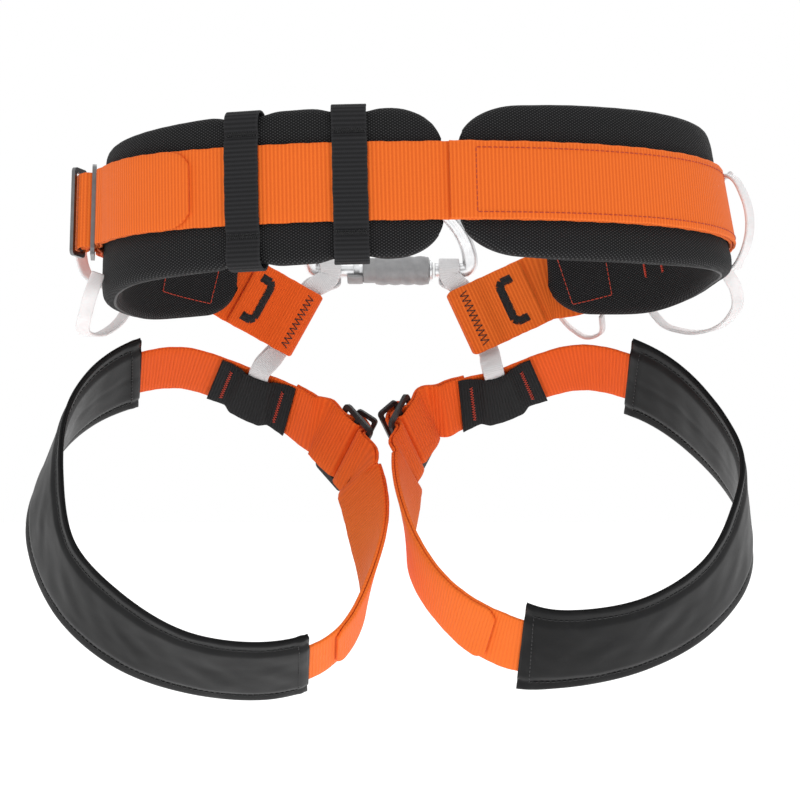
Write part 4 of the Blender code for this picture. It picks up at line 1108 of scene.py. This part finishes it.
def make_tie_in(side):
    """White tape: over the carabiner bar, through the tab's fold, round the leg strap and back."""
    leg = legs[side]
    middle, width, along, facing = tab_axes(side)
    centre, run, outward, across = (rows[0] for rows in leg.frame(0.0))
    bar = BAR + np.array((TIE_X[side], 0, 0))
    x_axis = np.array((1.0, 0.0, 0.0))
    turn = np.radians(np.linspace(-40, 200, 10))
    over_bar = [bar + np.array((0, 0.0012, -0.0080))]
    over_bar += [bar + np.array((0, math.cos(a), math.sin(a))) * 0.0070 for a in turn]
    gap = facing * 0.0013
    middle = middle - along * 0.0037
    near = [middle + width * h + gap for h in (0.0240, 0.0, -0.0240)]
    far = [middle + width * h - gap for h in (-0.0240, 0.0, 0.0240)]
    radius = WEB_T / 2 + 0.0008 + 0.0010
    inside = [centre + across * h - outward * radius for h in (0.0262, 0.010, -0.0225)]
    turn = np.radians(np.linspace(0, 180, 7)[1:-1])
    under = []
    for a in turn:
        under.append(centre - across * (0.0235 + radius * math.sin(a)) - outward * radius * math.cos(a))
    outside = [centre + across * h + outward * radius for h in (-0.0225, 0.010, 0.0262)]
    points = np.array(over_bar + near + inside + under + outside + far)
    lateral = unit(np.cross(width, facing))
    lateral = lateral if lateral[0] > 0 else -lateral
    run = run if run[0] > 0 else -run
    round_leg = [run] * (3 + len(under) + 3)
    widths = np.array([x_axis] * len(over_bar) + [lateral] * 3 + round_leg + [lateral] * 3)
    tape = strap(f"tie_in_tape_{side}", (points, widths), -TAPE_HALF, TAPE_HALF, TAPE_T, WHITE, closed=True,
                 seed=7.0, wave=0.00008)
    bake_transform(tape)
    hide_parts(f"tie_in_loop_{side}")


# ---------------------------------------------------------------- carabiner and gear loops

LEAN = np.array((0.0, -math.sin(ARC_LEAN), math.cos(ARC_LEAN)))
ACROSS = np.cross((1.0, 0.0, 0.0), LEAN)


def finish_node(node, material, bevel=None):
    """Gives a solid of the model its material and, where bevel is set, breaks its sharp edges."""
    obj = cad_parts[node]
    if bevel:
        change = obj.modifiers.new("edges", "BEVEL")
        change.width = bevel
        change.segments = 3
        change.limit_method = "ANGLE"
        change.angle_limit = math.radians(50)
    for material_slot in obj.material_slots:
        material_slot.material = material


def make_carabiner():
    """The forged body: round where it is held, with a shallow groove down each side of the bow."""
    corner_in = ARC_R - 0.0055
    bend = [(ARC_R * math.cos(a), ARC_R * math.sin(a)) for a in np.radians(np.linspace(171, 9, 25))]
    left = [(-0.0240, 0.0), (-0.030, 0.0), (-corner_in, 0.0), (-corner_in - 0.0035, 0.0012),
            (-ARC_R + 0.0006, 0.0042)]
    right = [(ARC_R - 0.0006, 0.0042), (corner_in + 0.0035, 0.0012), (corner_in, 0.0), (0.034, 0.0),
             (0.0288, 0.0)]
    flat = left + bend + right
    line = np.array([BAR + np.array((1.0, 0, 0)) * x + LEAN * z for x, z in flat])
    points, widths = smooth((line, np.broadcast_to(ACROSS, line.shape)), 0.0012)
    _, widths, normals = sides_of(points, widths)
    rings = []
    turn = np.arange(28) * 2 * math.pi / 28
    count = len(points)
    rise = np.array([(p - BAR) @ LEAN for p in points])
    for i in range(count):
        groove = np.clip((rise[i] - 0.004) / 0.006, 0, 1)
        ring = []
        for a in turn:
            r = 0.0050 * (1 - 0.30 * groove * math.exp(-((math.sin(a) / 0.42) ** 2)))
            wide = 1 + 0.05 * groove
            ring.append(points[i] + widths[i] * math.cos(a) * r * wide + normals[i] * math.sin(a) * r)
        rings.append(ring)
    at = np.arange(count + 1) * 0.0012
    body = swept("carabiner_body_forged", at, np.array(rings), list(turn * 0.005), ALLOY)
    placed(body, "carabiner", "aluminium", "carabiner_body")


def turned(name, profile, sides, material, ribs=None):
    """A turned piece about the gate's axis. profile is a closed list of (along, radius)."""
    rings = []
    for i in range(sides):
        a = 2 * math.pi * i / sides
        spoke = ACROSS * math.cos(a) + LEAN * math.sin(a)
        row = []
        for h, r in profile:
            if ribs is not None:
                r = ribs(h, a, r)
            row.append(BAR + np.array((1.0, 0, 0)) * h + spoke * r)
        rings.append(row)
    at = np.arange(sides + 1) * 0.001
    return swept(name, at, np.array(rings), [h for h, _ in profile], material, True)


def sleeve_profile():
    """The sleeve's section: bored through, waved on the outside for grip."""
    inner = 0.0050
    out = [(-0.0185, inner), (0.0250, inner), (0.0250, 0.0084), (0.0246, 0.0090)]
    for h in np.linspace(0.0238, -0.0095, 65):
        grip = 0.0006 * (0.5 - 0.5 * math.cos(2 * math.pi * (h + 0.0095) / 0.0083)) ** 0.6
        out.append((h, 0.0090 + grip))
    return out + [(-0.0105, 0.0082), (-0.0172, 0.0082), (-0.0183, 0.0078)]


def make_gate():
    sleeve = turned("locking_sleeve_grip", sleeve_profile(), 64, SLEEVE)
    placed(sleeve, "sleeve", "sleeve_grey", "locking_sleeve")
    section = [(-0.0184, 0.0060), (-0.0184, 0.0086), (-0.0205, 0.0089), (-0.0272, 0.0089), (-0.0284, 0.0084),
               (-0.0286, 0.0062)]
    rings = []
    for angle in np.radians(np.linspace(-160, -8, 33)):
        spoke = ACROSS * math.cos(angle) + LEAN * math.sin(angle)
        rings.append([BAR + np.array((1.0, 0, 0)) * h + spoke * r for h, r in section])
    guard = swept("locking_sleeve_thumb_guard", np.arange(34) * 0.0007, np.array(rings),
                  [h for h, _ in section], SLEEVE)
    placed(guard, "sleeve", "sleeve_grey")
    section = [(0.0253, 0.0050), (0.0274, 0.0050), (0.0274, 0.0068), (0.0270, 0.0072), (0.0257, 0.0074),
               (0.0253, 0.0071)]
    ring = turned("sleeve_ring_turned", section, 64, ALLOY)
    placed(ring, "gate_ring", "aluminium", "sleeve_ring")
    finish_node("carabiner_gate", ALLOY, 0.0004)
    finish_node("gate_pin", WIRE, 0.0002)
    finish_node("gate_spring", WIRE)
    finish_node("sleeve_spring", WIRE)


def make_gear_loops():
    for name, steps in GEAR_LOOPS.items():
        if name == "gear_loop_rear_right":
            # The ribbon's ends go on to the belt and the pad, past the ends of the solid
            steps = ((0.2290, 0.0080, 0.0215),) + steps + ((0.2310, 0.0014, -0.0350),)
        line, _ = waist.path(steps)
        _, along, outward, _ = waist.frame([step[0] for step in steps])
        widths = outward
        if "rear" in name:
            _, _, flat = sides_of(line, along)
            twist = REAR_TWIST * np.sin(np.linspace(0, math.pi, len(steps)))[:, None]
            widths = np.cos(twist) * along + np.sin(twist) * flat
        ribbon = strap(f"{name}_ribbon", (line, widths), -RIBBON_HALF, RIBBON_HALF, RIBBON_T, LOOP, seed=8.0,
                       wave=0.00003, columns=5, step=0.0010)
        placed(ribbon, name, "gear_loop_plastic", name)


def make_buckles():
    for part in ("frame", "slider"):
        finish_node(f"waist_buckle_{part}", STEEL, 0.0006)
        for side in ("left", "right"):
            finish_node(f"leg_buckle_{side}_{part}", COATED, 0.0006)


# ---------------------------------------------------------------- room

def make_room():
    plane = bpy.data.meshes.new("floor")
    reach, level = 14.0, -0.85
    corners = [(x * reach, y * reach, level) for x, y in ((-1, -1), (1, -1), (1, 1), (-1, 1))]
    plane.from_pydata(corners, [], [(0, 1, 2, 3)])
    floor = bpy.data.objects.new("floor", plane)
    m = Nodes("floor_pale", (0.9, 0.9, 0.9), 0.9, specular=0.1)
    m.set("Emission Color", (1, 1, 1, 1))
    m.set("Emission Strength", 0.55)
    plane.materials.append(m.material)
    bpy.context.scene.collection.objects.link(floor)

    world = bpy.data.worlds.new("studio")
    bpy.context.scene.world = world
    world.use_nodes = True
    tree = world.node_tree
    ground = tree.nodes["Background"]
    ground.inputs["Color"].default_value = (1.0, 1.0, 1.0, 1)
    ground.inputs["Strength"].default_value = 0.76
    seen = tree.nodes.new("ShaderNodeBackground")
    seen.inputs["Color"].default_value = (1, 1, 1, 1)
    seen.inputs["Strength"].default_value = 1.0
    path = tree.nodes.new("ShaderNodeLightPath")
    mixed = tree.nodes.new("ShaderNodeMixShader")
    tree.links.new(path.outputs["Is Camera Ray"], mixed.inputs[0])
    tree.links.new(ground.outputs[0], mixed.inputs[1])
    tree.links.new(seen.outputs[0], mixed.inputs[2])
    tree.links.new(mixed.outputs[0], tree.nodes["World Output"].inputs["Surface"])

    for name, place, aim, size, power in (
            ("key", (-0.9, -1.7, 1.5), (0.0, 0.0, -0.1), (1.2, 1.2), 6.0),
            ("fill", (1.5, -1.5, 0.4), (0.0, 0.0, -0.15), (1.0, 1.6), 4.0),
            ("top", (0.0, 0.3, 2.0), (0.0, 0.0, -0.1), (1.6, 1.2), 8.0),
            ("rim", (0.6, 1.9, 0.9), (0.0, 0.0, -0.1), (1.2, 0.8), 6.0)):
        data = bpy.data.lights.new(name, "AREA")
        data.shape = "RECTANGLE"
        data.size, data.size_y = size
        data.energy = power
        light = bpy.data.objects.new(name, data)
        light.location = place
        light.rotation_euler = (Vector(aim) - Vector(place)).to_track_quat("-Z", "Y").to_euler()
        bpy.context.scene.collection.objects.link(light)

    camera = bpy.data.objects.new("camera", bpy.data.cameras.new("camera"))
    camera.data.sensor_width = 36
    camera.data.lens = 118.5
    camera.location = (0.006, -1.6, -0.118)
    camera.rotation_euler = (math.radians(90), 0, 0)
    bpy.context.scene.collection.objects.link(camera)
    bpy.context.scene.camera = camera
    bpy.context.scene.view_settings.view_transform = "Standard"


make_belt()
make_tool_loops()
make_tab_stitching()
make_pad_details()
for side in legs:
    make_leg(side)
    make_tie_in(side)
make_carabiner()
make_gate()
make_gear_loops()
make_buckles()
make_room()
